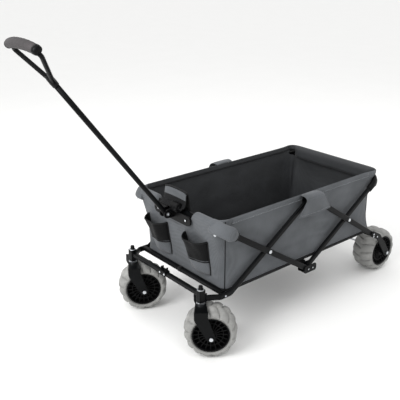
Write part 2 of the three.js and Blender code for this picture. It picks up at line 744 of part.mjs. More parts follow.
// Handle
function makeHandleBracket() {
  const frontY = -hoopFrontY - bracketStandoff;
  const quarter = Math.PI / 2;
  const roundX = bracketPlateHalf - bracketPlateRadius;
  const plateShape = new THREE.Shape();
  plateShape.absarc(roundX, 0, bracketPlateRadius, -quarter, quarter);
  plateShape.absarc(-roundX, 0, bracketPlateRadius, quarter, 3 * quarter);
  const options = { depth: bracketPlate, bevelEnabled: false, curveSegments: 4 };
  const plate = new THREE.ExtrudeGeometry(plateShape, options).rotateX(Math.PI / 2);
  const plateMiddle = handlePivotZ - bracketPlateDrop;
  plate.translate(0, frontY, plateMiddle);
  const saddleLow = handlePivotZ - saddleDrop;
  const saddleHigh = handlePivotZ + saddleRise;
  const saddle = box(-saddleHalf, saddleHalf, frontY - 1, 16 - hoopFrontY, saddleLow, saddleHigh);
  const pieces = [plate, saddle];
  for (const side of [-1, 1]) {
    const near = side * (handleRadius + earGap);
    const far = near + side * earThickness;
    const ear = linkShape(-handlePivotY, handlePivotZ, earRadius, frontY + 4, handlePivotZ, earRadius + 1);
    pieces.push(plateX(ear, Math.min(near, far), Math.max(near, far)));
    const rivetX = side * (bracketPlateHalf - bracketRivetInset);
    const face = frontY - bracketPlate;
    pieces.push(rodY(5, face - rivetHeadHeight, face + 1, rivetX, plateMiddle));
  }
  const pinHole = rodX(pinRadius + pinGap, -30, 30, -handlePivotY, handlePivotZ);
  const room = roundedRectangle(barThin / 2 + seatGap, barTall / 2 + seatGap, barCorner);
  const hoopZ = risingZ(hoopFrontY);
  const hoop = bentBar([point(-60, -hoopFrontY, hoopZ), point(60, -hoopFrontY, hoopZ)], 1, room);
  // The hoop's section leans with its legs.
  hoop.translate(0, hoopFrontY, -hoopZ).rotateX(-scissorAngle).translate(0, -hoopFrontY, hoopZ);
  add("handle_bracket", cut(join(...pieces), pinHole, hoop), plastic);
}

function makeHandlePin() {
  const seat = handleRadius + earGap + earThickness + seatGap;
  const pin = join(
    rodX(pinRadius, -seat - 1, seat + 1, -handlePivotY, handlePivotZ),
    rodX(rivetHeadRadius, seat, seat + rivetHeadHeight, -handlePivotY, handlePivotZ),
    rodX(rivetHeadRadius, -seat - rivetHeadHeight, -seat, -handlePivotY, handlePivotZ),
  );
  add("handle_pin", pin, steel);
}

// The handle is drawn along +Y from its pivot, with its width along X, then lifted to its tilt.
function makeHandle() {
  const handle = new THREE.Group();
  handle.position.set(0, -handlePivotY, handlePivotZ);
  handle.rotation.x = THREE.MathUtils.degToRad(-handleTilt);
  cart.add(handle);
  const eye = rodX(handleRadius, -handleRadius + 1, handleRadius - 1, 0, 0);
  const tube = cut(
    join(rodY(handleRadius, -handleLength, 0, 0, 0), eye),
    rodX(pinRadius + pinGap, -2 * handleRadius, 2 * handleRadius, 0, 0),
  );
  add("handle_tube", tube, paint, handle);
  const round = disc(loopRadius);
  const reach = gripHalfWidth - loopRadius;
  const yokeY = -handleLength + 10;
  const topY = yokeY - loopReach;
  const loopLine = [
    point(-reach + 18, topY - 4, 0),
    point(-reach, topY, 0),
    point(-handleRadius, yokeY, 0),
    point(handleRadius, yokeY, 0),
    point(reach, topY, 0),
    point(reach - 18, topY - 4, 0),
  ];
  const collar = rodY(handleRadius + 4, yokeY - 12, yokeY + 26, 0, 0, 20);
  const socket = rodY(handleRadius + seatGap, -handleLength - seatGap, yokeY + 30, 0, 0);
  const loop = cut(join(bentBar(loopLine, 9, round, 5), collar), socket);
  add("handle_loop", loop, plastic, handle);
  const gripLine = [
    point(-gripHalfWidth + 4, topY - 16, 0),
    point(0, topY - 16 - gripBow, 0),
    point(gripHalfWidth - 4, topY - 16, 0),
  ];
  const gripShape = roundedRectangle(gripRadius, gripRadius * 1.15, gripRadius - 1);
  const loopRoom = bentBar(loopLine, 9, disc(loopRadius + seatGap), 5);
  const grip = cut(bentBar(gripLine, 220, gripShape, 2), loopRoom);
  add("grip", grip, foam, handle);
}

function makeSides() {
  for (const [side, word, swivel] of [[1, "left", swivelLeft], [-1, "right", swivelRight]]) {
    makeFrontLeg(side, "front_leg_" + word);
    makeRearLeg(side, "rear_leg_" + word);
    makeCrossPin(side, -1, "cross_pin_front_" + word);
    makeCrossPin(side, 1, "cross_pin_rear_" + word);
    makeChannel(side, -1, lowerPivotZ, "middle_bracket_" + word);
    makeChannel(side, 1, upperPivotZ, "top_bracket_" + word);
    makeCastorHousing(side, "castor_housing_" + word);
    makeCastor(side, swivel, word);
    makeRearArm(side, "rear_arm_" + word);
    makeRearWheel(side, word);
    makeRearCorner(side, "rear_corner_" + word);
    makePocket(side, "cup_pocket_" + word);
    makeSideCover(side, "side_cover_" + word);
  }
}

makeHoop("front_hoop", -1, hoopFrontY, outerX);
makeHoop("rear_hoop", 1, hoopRearY, innerX);
makeFrontBars();
makeCastorClip();
makeRearBar();
makeMiddleBar();
makeRearAxle();
makeSides();
makeTub();
makeFloorLeaf(-1, "floor_leaf_front");
makeFloorLeaf(1, "floor_leaf_rear");
makeFrontCover();
makeHandleBracket();
makeHandlePin();
makeHandle();

// The origin is the bottom middle of the whole cart's box.
const model = new THREE.Group();
model.add(cart);
model.updateMatrixWorld(true);
const extent = new THREE.Box3().setFromObject(cart, true);
const middle = extent.getCenter(new THREE.Vector3());
cart.position.set(-middle.x, -middle.y, -extent.min.z);
export default model;
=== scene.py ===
import json
import math

import bmesh
import bpy
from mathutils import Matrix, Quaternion, Vector, noise


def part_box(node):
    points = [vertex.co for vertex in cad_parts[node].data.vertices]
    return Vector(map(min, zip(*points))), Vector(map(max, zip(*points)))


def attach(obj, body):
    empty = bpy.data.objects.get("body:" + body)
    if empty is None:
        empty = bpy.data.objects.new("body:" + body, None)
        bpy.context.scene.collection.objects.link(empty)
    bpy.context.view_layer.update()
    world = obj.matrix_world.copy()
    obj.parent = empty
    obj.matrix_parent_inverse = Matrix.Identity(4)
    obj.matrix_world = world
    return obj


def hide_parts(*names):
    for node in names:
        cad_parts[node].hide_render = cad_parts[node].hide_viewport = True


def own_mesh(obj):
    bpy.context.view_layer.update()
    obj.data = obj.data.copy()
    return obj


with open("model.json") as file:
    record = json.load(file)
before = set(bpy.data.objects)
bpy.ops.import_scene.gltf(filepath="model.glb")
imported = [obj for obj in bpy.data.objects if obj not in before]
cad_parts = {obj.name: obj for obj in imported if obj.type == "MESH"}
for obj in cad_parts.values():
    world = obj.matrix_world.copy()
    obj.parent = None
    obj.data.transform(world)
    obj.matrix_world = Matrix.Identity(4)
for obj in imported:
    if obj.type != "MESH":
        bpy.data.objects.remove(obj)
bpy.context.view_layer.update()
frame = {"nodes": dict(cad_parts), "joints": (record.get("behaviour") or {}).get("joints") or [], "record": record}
print("frame loaded:", len(frame["nodes"]), "nodes")

# The cart's own middle: x across it, y along it, z up from the floor.
tubLow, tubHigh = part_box("tub")
middleBarLow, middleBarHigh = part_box("middle_bar")
cartMiddle = Vector(((tubLow.x + tubHigh.x) / 2, (middleBarLow.y + middleBarHigh.y) / 2, 0))
joints = {joint["name"]: joint for joint in frame["joints"]}


def cartBox(node):
    low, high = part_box(node)
    return low - cartMiddle, high - cartMiddle


# Materials, each named for its substance and how its surface is made.
def hexColor(text):
    channels = [int(text[i:i + 2], 16) / 255 for i in (1, 3, 5)]
    linear = [c / 12.92 if c <= 0.04045 else ((c + 0.055) / 1.055) ** 2.4 for c in channels]
    return (*linear, 1)


def addNode(material, kind, inputs=None, links=None, stops=(), **settings):
    # links says which socket feeds an input; stops are a colour ramp's (position, hex) pairs
    tree = material.node_tree
    node = tree.nodes.new("ShaderNode" + kind)
    for name, value in settings.items():
        setattr(node, name, value)
    for name, value in (inputs or {}).items():
        node.inputs[name].default_value = value
    for name, socket in (links or {}).items():
        tree.links.new(socket, node.inputs[name])
    for i, (position, color) in enumerate(stops):
        node.color_ramp.elements[i].position = position
        node.color_ramp.elements[i].color = hexColor(color)
    return node


def newMaterial(name, **shader):
    material = bpy.data.materials.new(name)
    material.use_nodes = True
    principled = material.node_tree.nodes["Principled BSDF"]
    for socket, value in shader.items():
        principled.inputs[socket.replace("_", " ")].default_value = value
    return material, principled


def connect(material, source, target):
    material.node_tree.links.new(source, target)


bandPeriod = 0.314  # metres from band to band of a wave texture whose scale is 1


def makeCloth(name, light, dark, threadPitch, rough=0.88, wrinkle=0.35, gloss=0.5, sheen=0.08):
    material, shader = newMaterial(
        name, Roughness=rough, Specular_IOR_Level=gloss, Sheen_Weight=sheen, Sheen_Roughness=0.5,
    )
    where = addNode(material, "TexCoord").outputs["Object"]
    weave = None
    for axis in "XYZ":
        thread = addNode(
            material, "TexWave", {"Scale": bandPeriod / threadPitch, "Distortion": 0.0}, {"Vector": where},
            wave_type="BANDS", bands_direction=axis,
        ).outputs["Fac"]
        if weave:
            thread = addNode(material, "Math", links={0: weave, 1: thread}, operation="ADD").outputs[0]
        weave = thread
    # slow fading over the panel, thick and thin threads, and the weave's own light and dark
    fade = addNode(
        material, "TexNoise", {"Scale": 9.0, "Detail": 4.0, "Roughness": 0.6}, {"Vector": where},
    ).outputs["Fac"]
    slub = addNode(material, "TexNoise", {"Scale": 420.0, "Detail": 2.0}, {"Vector": where}).outputs["Fac"]
    shade = fade
    for share, source in ((0.12, weave), (0.18, slub)):
        part = addNode(material, "Math", {1: share}, {0: source}, operation="MULTIPLY").outputs[0]
        shade = addNode(material, "Math", links={0: shade, 1: part}, operation="ADD").outputs[0]
    ramp = addNode(material, "ValToRGB", links={"Fac": shade}, stops=((0.45, dark), (1.05, light)))
    connect(material, ramp.outputs["Color"], shader.inputs["Base Color"])
    matt = addNode(material, "MapRange", {"To Min": rough - 0.08, "To Max": rough + 0.08}, {"Value": fade})
    connect(material, matt.outputs["Result"], shader.inputs["Roughness"])
    crease = addNode(
        material, "TexNoise", {"Scale": 16.0, "Detail": 3.0, "Distortion": 0.6}, {"Vector": where},
    ).outputs["Fac"]
    soft = addNode(
        material, "Bump", {"Strength": wrinkle, "Distance": 0.006}, {"Height": crease},
    ).outputs["Normal"]
    fine = addNode(
        material, "Bump", {"Strength": 0.45, "Distance": 0.0004}, {"Height": weave, "Normal": soft},
    )
    connect(material, fine.outputs["Normal"], shader.inputs["Normal"])
    return material


def makeHard(name, base, worn, rough, grainScale, grainDepth, metallic=0.0, edge=0.0, gloss=0.5):
    material, shader = newMaterial(name, Metallic=metallic, Roughness=rough, Specular_IOR_Level=gloss)
    where = addNode(material, "TexCoord").outputs["Object"]
    cloud = addNode(
        material, "TexNoise", {"Scale": 14.0, "Detail": 5.0, "Roughness": 0.65}, {"Vector": where},
    ).outputs["Fac"]
    ramp = addNode(material, "ValToRGB", links={"Fac": cloud}, stops=((0.5, base), (0.85, worn)))
    connect(material, ramp.outputs["Color"], shader.inputs["Base Color"])
    scuff = addNode(material, "MapRange", {"To Min": rough - 0.07, "To Max": rough + 0.1}, {"Value": cloud})
    connect(material, scuff.outputs["Result"], shader.inputs["Roughness"])
    grain = addNode(material, "TexNoise", {"Scale": grainScale, "Detail": 2.0}, {"Vector": where})
    bump = addNode(
        material, "Bump", {"Strength": 0.5, "Distance": grainDepth}, {"Height": grain.outputs["Fac"]},
    )
    if edge:
        rounding = addNode(material, "Bevel", {"Radius": edge}, samples=6)
        connect(material, rounding.outputs["Normal"], bump.inputs["Normal"])
    connect(material, bump.outputs["Normal"], shader.inputs["Normal"])
    return material


def makeNet(name, thread, hole, cell):
    material, shader = newMaterial(name, Roughness=0.75, Specular_IOR_Level=0.15, Sheen_Weight=0.03)
    where = addNode(material, "TexCoord").outputs["Object"]
    cells = addNode(
        material, "TexVoronoi", {"Scale": 1 / cell, "Randomness": 0.0}, {"Vector": where},
        feature="DISTANCE_TO_EDGE",
    ).outputs["Distance"]
    ramp = addNode(material, "ValToRGB", links={"Fac": cells}, stops=((0.18, thread), (0.4, hole)))
    connect(material, ramp.outputs["Color"], shader.inputs["Base Color"])
    bump = addNode(material, "Bump", {"Strength": 0.8, "Distance": 0.0008}, {"Height": cells}, invert=True)
    connect(material, bump.outputs["Normal"], shader.inputs["Normal"])
    return material


# Polyester Oxford cloth, woven: matt, with a faint thread grid. Threads are 0.5 mm, drawn at 3 mm to show.
oxfordCloth = makeCloth("polyester_oxford_woven", "#5a5d61", "#414447", 0.003)
# The same cloth's coated inner side, darker and a little smoother: partly its own tone, partly painted shade
# inside the tub.
coatedShadedCloth = makeCloth("polyester_oxford_coated_back_painted_shade", "#2d2f32", "#1f2123", 0.003, rough=0.7)
# Painted shade on the front flap's back and lower pouch: the same weave near black, hardly shining, so folds stay
# dark.
flapShadeCloth = makeCloth(
    "polyester_oxford_black_painted_shade", "#121315", "#08090a", 0.003, rough=0.8, gloss=0.2, sheen=0.03,
)
# Polypropylene webbing, woven: black and even. Its ribs are 1 mm apart, drawn at 2.5 mm.
webbing = makeCloth(
    "polypropylene_webbing_woven", "#0f1011", "#080809", 0.0025,
    rough=0.75, wrinkle=0.1, gloss=0.2, sheen=0.03,
)
# Brushed polyester over the floor boards: dark, even and very matt.
boardCloth = makeCloth(
    "polyester_board_cover_brushed", "#2b2d2f", "#1f2022", 0.003, rough=0.95, wrinkle=0.15,
)
# Mild steel tube, powder coated: satin black with a fine orange peel and softened edges.
powderCoat = makeHard(
    "mild_steel_powder_coated", "#060708", "#101113", 0.34, 700.0, 0.00012, edge=0.003, gloss=0.1,
)
# Mild steel, zinc plated: bright, slightly cloudy rivets, pins and washers.
zincPlate = makeHard(
    "mild_steel_zinc_plated", "#c9ccd0", "#aeb2b7", 0.28, 900.0, 0.00008, metallic=1.0, edge=0.001,
)
# Polypropylene, injection moulded: black with a soft sheen and a fine spark grain.
moulded = makeHard(
    "polypropylene_moulded", "#060607", "#0f1011", 0.4, 1200.0, 0.00015, edge=0.0012, gloss=0.12,
)
# Soft PVC tyre, blow moulded: light grey, matt, scuffed paler in patches.
softTyre = makeHard("soft_pvc_blow_moulded", "#858583", "#b4b4b1", 0.55, 260.0, 0.0005, gloss=0.4)
# EVA foam, skinned: dark warm grey, very matt, with a pebbled skin.
foam = makeHard("eva_foam_skinned", "#343132", "#514c4e", 0.75, 520.0, 0.0005)
# Nylon thread, twisted: pale grey stitches.
paleThread = makeHard("nylon_thread_twisted", "#8b8f94", "#75797d", 0.6, 900.0, 0.0001)
# Polyester net, warp knitted: matt black threads round holes that are hardly paler. The holes are 2 mm,
# drawn at 4.5 mm.
netCloth = makeNet("polyester_net_knitted", "#050506", "#141517", 0.0045)
print("materials made")


# Mesh helpers, all in the cart's own frame.
def newPiece(name, shells, materials, body, smooth=True):
    # shells is a list of (points, faces) in the cart's own frame
    points, faces = [], []
    for shellPoints, shellFaces in shells:
        base = len(points)
        points += [Vector(p) + cartMiddle for p in shellPoints]
        faces += [[base + k for k in face] for face in shellFaces]
    mesh = bpy.data.meshes.new(name)
    mesh.from_pydata(points, [], faces)
    for material in materials if isinstance(materials, list) else [materials]:
        mesh.materials.append(material)
    for polygon in mesh.polygons:
        polygon.use_smooth = smooth
    tidy = bmesh.new()
    tidy.from_mesh(mesh)
    bmesh.ops.recalc_face_normals(tidy, faces=tidy.faces)
    tidy.to_mesh(mesh)
    tidy.free()
    piece = bpy.data.objects.new(name, mesh)
    bpy.context.scene.collection.objects.link(piece)
    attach(piece, body)
    return piece


def bake(piece, *modifiers):
    # each modifier is (kind, settings); the result becomes the piece's own mesh
    for kind, settings in modifiers:
        modifier = piece.modifiers.new(kind.lower(), kind)
        for name, value in settings.items():
            setattr(modifier, name, value)
    result = bpy.data.meshes.new_from_object(piece.evaluated_get(bpy.context.evaluated_depsgraph_get()))
    result.name = piece.data.name
    piece.modifiers.clear()
    piece.data = result


def gridShell(rows, closedAcross=False, closedAlong=False):
    # rows of points, each row as long as the others
    count, width = len(rows), len(rows[0])
    points = [p for row in rows for p in row]
    faces = []
    for i in range(count if closedAlong else count - 1):
        for j in range(width if closedAcross else width - 1):
            a, b = i * width + j, i * width + (j + 1) % width
            c, d = ((i + 1) % count) * width + (j + 1) % width, ((i + 1) % count) * width + j
            faces.append([a, b, c, d])
    return points, faces


def capped(shell, width):
    # closes the first and last rows of a grid whose rows are rings
    points, faces = shell
    last = len(points) - width
    return points, faces + [list(range(width))[::-1], list(range(last, last + width))]


def sweep(path, section, up, scales=None):
    # section is a list of (side, up) offsets; up stays as near to the given direction as the path lets it
    rows = []
    for i, here in enumerate(path):
        before, after = path[max(i - 1, 0)], path[min(i + 1, len(path) - 1)]
        along = (Vector(after) - Vector(before)).normalized()
        tall = (Vector(up) - along * along.dot(Vector(up))).normalized()
        side = along.cross(tall)
        scale = scales[i] if scales else (1, 1)
        rows.append([Vector(here) + side * a * scale[0] + tall * b * scale[1] for a, b in section])
    return capped(gridShell(rows, closedAcross=True), len(section))


def ring(radius, sides=24, tall=None, power=1.0):
    tall = tall or radius
    result = []
    for i in range(sides):
        a = 2 * math.pi * i / sides
        c, s = math.cos(a), math.sin(a)
        result.append((radius * math.copysign(abs(c) ** power, c), tall * math.copysign(abs(s) ** power, s)))
    return result


def roundedPath(corners, radius, steps=8):
    points = [Vector(corners[0])]
    for i in range(1, len(corners) - 1):
        here = Vector(corners[i])
        inWay = (here - Vector(corners[i - 1])).normalized()
        outWay = (Vector(corners[i + 1]) - here).normalized()
        turn = inWay.angle(outWay)
        reach = radius * math.tan(turn / 2)
        start = here - inWay * reach
        axis = inWay.cross(outWay).normalized()
        centre = start + axis.cross(inWay) * radius
        for k in range(steps + 1):
            points.append(centre + Quaternion(axis, turn * k / steps) @ (start - centre))
    return points + [Vector(corners[-1])]


def spin(profile, sides, centre=(0, 0, 0), axis=(1, 0, 0)):
    # profile is a closed list of (along, radius) round the axis
    turn = Vector((1, 0, 0)).rotation_difference(Vector(axis))
    rows = []
    for i in range(sides):
        a = 2 * math.pi * i / sides
        row = [Vector((x, r * math.cos(a), r * math.sin(a))) for x, r in profile]
        rows.append([turn @ p + Vector(centre) for p in row])
    return gridShell(rows, closedAcross=True, closedAlong=True)


def dome(centre, axis, radius, height, sides=16):
    # a low rivet head with a small flat rim
    turn = Vector((0, 0, 1)).rotation_difference(Vector(axis))
    rows = []
    for z, r in ((-0.001, 1.0), (0.15, 1.0), (0.5, 0.86), (0.8, 0.6), (0.96, 0.3)):
        row = []
        for i in range(sides):
            a = 2 * math.pi * i / sides
            onHead = Vector((r * radius * math.cos(a), r * radius * math.sin(a), z * height))
            row.append(turn @ onHead + Vector(centre))
        rows.append(row)
    return capped(gridShell(rows, closedAcross=True), sides)


def smoothStep(value):
    value = min(max(value, 0.0), 1.0)
    return value * value * (3 - 2 * value)


def lerp(a, b, t):
    return a + (b - a) * t


def stitches(path, outward, length=0.0045, gap=0.0035, thick=0.0006):
    # short thread segments laid along a line, just proud of the cloth
    shells, carried, step = [], 0.0, length + gap
    for a, b, out in zip(path, path[1:], outward):
        a, b = Vector(a), Vector(b)
        span = (b - a).length
        if span < 1e-9:
            continue
        along = (b - a) / span
        side = along.cross(out).normalized()
        while carried < span:
            start = a + along * carried
            end = start + along * min(length, span)
            near = [start + side * thick, start - side * thick, start + out * thick]
            far = [end + side * thick, end - side * thick, end + out * thick]
            shells.append((near + far, [[0, 2, 1], [3, 4, 5], [0, 1, 4, 3], [1, 2, 5, 4], [2, 0, 3, 5]]))
            carried += step
        carried -= span
    return shells


# Tub: one cloth wall hung over both hoops, a floor cloth and their trim.

tub = {
    "halfWidth": 0.2315, "frontY": -0.4150, "rearY": 0.4240, "bottomZ": 0.2165, "rimZ": 0.4915,
    "cornerRadius": 0.024, "thickness": 0.0016,
    "frontFlare": 0.0435, "rearFlare": 0.0225,  # how far the ends lean out to pass over the hoops
    "wrapRadius": 0.0175, "wrapZ": 0.4765,  # the fold over a hoop
    "notchHalf": 0.074, "notchOuter": 0.116, "notchZ": 0.4375,
    "sideSag": 0.005, "rearWaist": 0.016, "frontWaist": 0.008, "earOut": 0.009,
    "wrinkle": 0.0022, "frontFold": 0.0030, "spacing": 0.0075, "wallRows": 22,
    "hem": 0.02, "wrapHem": 0.034,  # how far the cloth's end hangs inside, plain and round a hoop
    "cutHeight": 0.318, "floorThickness": 0.0012,
}
# Trim of the tub: places and thicknesses of its bands, stitch lines and corner seams.
trim = {
    "bindingBelow": 0.0012, "bindingAbove": 0.0105, "bindingStand": 0.0014, "bindingThick": 0.0024,
    "hemLow": 0.4705, "hemHigh": 0.4905, "hemStand": 0.0011, "hemThick": 0.0014,
    "stitchLines": (0.4725, 0.4745, 0.2292), "stitchStand": 0.0013,
    "hemFromY": -0.385, "hemToY": 0.375, "seamRadius": 0.0017, "seamStand": 0.0004,
}


def tubOutline():
    # points round the tub's plan, with outward directions, starting at the front middle
    half, front, rear, r = tub["halfWidth"], tub["frontY"], tub["rearY"], tub["cornerRadius"]
    result = []

    def straight(start, end, out):
        count = max(2, round((Vector(end) - Vector(start)).length / tub["spacing"]))
        for k in range(count):
            result.append((*Vector(start).lerp(Vector(end), k / count), *out))

    def corner(cx, cy, startAngle):
        for k in range(8):
            a = math.radians(startAngle + 90 * k / 8)
            result.append((cx + r * math.cos(a), cy + r * math.sin(a), math.cos(a), math.sin(a)))

    straight((0, front), (half - r, front), (0, -1))
    corner(half - r, front + r, -90)
    straight((half, front + r), (half, rear - r), (1, 0))
    corner(half - r, rear - r, 0)
    straight((half - r, rear), (r - half, rear), (0, 1))
    corner(r - half, rear - r, 90)
    straight((-half, rear - r), (-half, front + r), (-1, 0))
    corner(r - half, front + r, 180)
    straight((r - half, front), (0, front), (0, -1))
    return result


outline = tubOutline()


def tubWeights(x, ny):
    # how far a station belongs to the front wrap, the rear wrap and the notch under the handle
    front = smoothStep((tub["halfWidth"] + 0.004 - abs(x)) / 0.034) if ny < -0.05 else 0.0
    rear = smoothStep((tub["halfWidth"] - 0.004 - abs(x)) / 0.034) if ny > 0.05 else 0.0
    notch = 0.0
    if ny < -0.9:
        notch = 1 - smoothStep((abs(x) - tub["notchHalf"]) / (tub["notchOuter"] - tub["notchHalf"]))
    return front, rear, notch


def tubOffset(station, z):
    # how far the cloth stands out from the plan at a height
    x, y, nx, ny = station
    front, rear, _ = tubWeights(x, ny)
    t = (z - tub["bottomZ"]) / (tub["wrapZ"] - tub["bottomZ"])
    lean = (front * tub["frontFlare"] + rear * tub["rearFlare"]) * min(max(t, 0), 1) ** 1.15
    arch = math.sin(math.pi * min(max(t, 0), 1))
    nearSide = math.exp(-((abs(x) - tub["halfWidth"]) / 0.06) ** 2)
    cornerRear = math.exp(-((y - tub["rearY"]) / 0.05) ** 2) * nearSide
    cornerFront = math.exp(-((y - tub["frontY"]) / 0.05) ** 2) * nearSide
    sag = arch * (tub["sideSag"] * abs(nx) + tub["rearWaist"] * cornerRear + tub["frontWaist"] * cornerFront)
    ripple = noise.noise(Vector((x * 9, y * 9, z * 14))) * tub["wrinkle"] * arch * 1.6
    ear = cornerRear * smoothStep((z - 0.4) / 0.08) * tub["earOut"] * (1 - rear)
    # slanting pulls along the sides
    pull = math.sin(46 * (abs(y) * 0.62 + z)) * noise.noise(Vector((y * 5, z * 5, x * 3)))
    pull *= tub["wrinkle"] * arch
    # soft folds that run down the front panel from its upper corners
    fold = max(0.0, -ny) * math.sin(abs(x) * 78 + z * 21) * smoothStep((abs(x) - 0.03) / 0.08)
    fold *= tub["frontFold"] * arch
    return lean - sag + ripple + pull + ear + fold


def tubPoint(station, offset, z):
    x, y, nx, ny = station
    return Vector((x + nx * offset, y + ny * offset, z))


def tubProfile(station):
    front, rear, notch = tubWeights(station[0], station[3])
    wrap = max(front, rear) * (1 - notch)
    foldRadius = lerp(tub["thickness"], tub["wrapRadius"], wrap)
    foldZ = lerp(lerp(tub["rimZ"], tub["wrapZ"], wrap), tub["notchZ"], notch)
    rows = []
    for k in range(tub["wallRows"] + 1):
        z = lerp(tub["bottomZ"], foldZ, k / tub["wallRows"])
        rows.append((tubOffset(station, z), z))
    outer = rows[-1][0]
    for k in range(1, 9):
        a = math.pi * k / 8
        rows.append((outer - foldRadius + foldRadius * math.cos(a), foldZ + foldRadius * math.sin(a)))
    drop = lerp(tub["hem"], tub["wrapHem"], wrap)
    for k in range(1, 4):
        rows.append((outer - 2 * foldRadius - 0.0006 * k * (1 - wrap), foldZ - drop * k / 3))
    return rows


def makeTub():
    profiles = [tubProfile(station) for station in outline]
    columns = [[tubPoint(s, o, z) for o, z in profile] for s, profile in zip(outline, profiles)]
    shell = gridShell(columns, closedAlong=True)
    piece = newPiece("tub_walls", [shell], [oxfordCloth, coatedShadedCloth, coatedShadedCloth], "tub_body")
    # from the top of its fold inwards the cloth takes the darker coated side, partly painted shade; at the rear,
    # the whole fold does
    strips = len(columns[0]) - 1
    for k, polygon in enumerate(piece.data.polygons):
        station, strip = outline[k // strips], k % strips
        darkFrom = tub["wallRows"] + (1 if station[3] > 0.5 else 6 if station[3] < -0.5 else 3)
        polygon.material_index = 1 if strip >= darkFrom else 0
    bake(piece, ("SOLIDIFY", {
        "thickness": tub["thickness"], "offset": -1, "material_offset": 1, "material_offset_rim": 0,
    }))
    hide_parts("tub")
    squashTub(piece)
    return columns


def squashTub(piece):
    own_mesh(piece)


def makeTubFloor():
    inner = tub["floorThickness"]
    half, front, rear = tub["halfWidth"] - inner, tub["frontY"] + inner, tub["rearY"] - inner
    rows = []
    lines, columns = 40, 24
    for i in range(lines + 1):
        rows.append([])
        for j in range(columns + 1):
            x, y = lerp(-half, half, j / columns), lerp(front, rear, i / lines)
            dip = 0.0008 * noise.noise(Vector((x * 8, y * 8, 0)))
            # the first and last rows are drawn in at the tub's rounded corners
            cutIn = 0.3 * max(0.0, tub["cornerRadius"] - (half - abs(x))) if i in (0, lines) else 0.0
            rows[-1].append((x, y + (cutIn if i == 0 else -cutIn), tub["bottomZ"] + 0.0006 + dip))
    # the floor inside the tub takes the darker coated cloth, partly painted shade
    cloths = [coatedShadedCloth, oxfordCloth]
    piece = newPiece("tub_floor_cloth", [gridShell(rows)], cloths, "tub_body")
    bake(piece, ("SOLIDIFY", {"thickness": tub["floorThickness"], "offset": 1}))
    squashTub(piece)


def bandRound(name, zLow, zHigh, stand, thick, keepStation, material):
    # a flat band sewn round the tub, over the stations that keepStation picks
    shells, run, steps = [], [], 4
    for station in outline + outline[:1]:
        if keepStation(station):
            rowsOut, rowsIn = [], []
            for k in range(steps + 1):
                z = lerp(zLow, zHigh, k / steps)
                offset = tubOffset(station, z) + stand
                rowsOut.append(tubPoint(station, offset, z))
                rowsIn.append(tubPoint(station, offset - thick, z))
            run.append(rowsOut + rowsIn[::-1])
        elif run:
            shells.append(capped(gridShell(run, closedAcross=True), len(run[0])))
            run = []
    if len(run) > 1:
        shells.append(capped(gridShell(run, closedAcross=True), len(run[0])))
    squashTub(newPiece(name, shells, material, "tub_body"))


def onHemmedSide(station):
    # along the sides, short of the corners
    return abs(station[2]) > 0.95 and trim["hemFromY"] < station[1] < trim["hemToY"]


def makeTubTrim(columns):
    bindingLow, bindingHigh = tub["bottomZ"] - trim["bindingBelow"], tub["bottomZ"] + trim["bindingAbove"]
    bandRound("tub_bottom_binding", bindingLow, bindingHigh, trim["bindingStand"], trim["bindingThick"],
              lambda station: True, webbing)
    bandRound("tub_side_hems", trim["hemLow"], trim["hemHigh"], trim["hemStand"], trim["hemThick"],
              onHemmedSide, oxfordCloth)
    shells = []
    for z in trim["stitchLines"]:
        run, outs = [], []
        for station in outline:
            if onHemmedSide(station):
                run.append(tubPoint(station, tubOffset(station, z) + trim["stitchStand"], z))
                outs.append(Vector((station[2], station[3], 0)))
            elif run:
                shells += stitches(run, outs)
                run, outs = [], []
    squashTub(newPiece("tub_stitches", shells, paleThread, "tub_body"))
    seams = []
    for index, station in enumerate(outline):
        onCorner = abs(abs(station[2]) - abs(station[3])) < 0.05
        if onCorner:
            stand = Vector((station[2], station[3], 0)) * trim["seamStand"]
            path = [p + stand for p in columns[index][:tub["wallRows"] + 1]]
            seams.append(sweep(path, ring(trim["seamRadius"], 8), (1, 0, 0)))
    squashTub(newPiece("tub_corner_seams", seams, webbing, "tub_body"))


tubColumns = makeTub()
makeTubFloor()
makeTubTrim(tubColumns)
print("tub made")


def frontCloth(x, z):
    # the point on the tub's front panel at x and z
    station = (x, tub["frontY"], 0, -1)
    return tubPoint(station, tubOffset(station, z), z)


# Cup pockets on the front panel: a cloth pouch below and a net above.

pocket = {
    "halfWidthTop": 0.060, "halfWidthBottom": 0.050, "depthTop": 0.040, "depthBottom": 0.012,
    "mouthZ": 0.3995, "bottomZ": 0.2600, "meshZ": 0.3180, "cloth": 0.0013, "columns": 28, "sway": 0.004,
    "droop": 0.006, "lap": 0.004, "stand": 0.0012, "edge": 0.0014, "edgeTall": 0.0036,
}


def pocketPoint(middleX, across, z, extra=0.0):
    t = (z - pocket["bottomZ"]) / (pocket["mouthZ"] - pocket["bottomZ"])
    half = lerp(pocket["halfWidthBottom"], pocket["halfWidthTop"], t ** 0.7)
    depth = lerp(pocket["depthBottom"], pocket["depthTop"], t ** 0.8)
    bulge = max(0.0, 1 - abs(across) ** 2.6) ** 0.75
    droop = -pocket["droop"] * (1 - across * across) * t  # the mouth sags in its middle
    x = middleX + half * math.copysign(abs(across) ** 0.85, across)
    crease = pocket["sway"] * noise.noise(Vector((across * 2.2 + middleX * 30, z * 22, 3))) * bulge
    wall = frontCloth(x, z)
    return Vector((x, wall.y - depth * bulge - crease - extra - pocket["stand"], z + droop))


def pocketBand(middleX, zLow, zHigh, rows):
    count = pocket["columns"]
    grid = []
    for i in range(rows + 1):
        z = lerp(zLow, zHigh, i / rows)
        grid.append([pocketPoint(middleX, lerp(-1, 1, j / count), z) for j in range(count + 1)])
    return gridShell(grid)


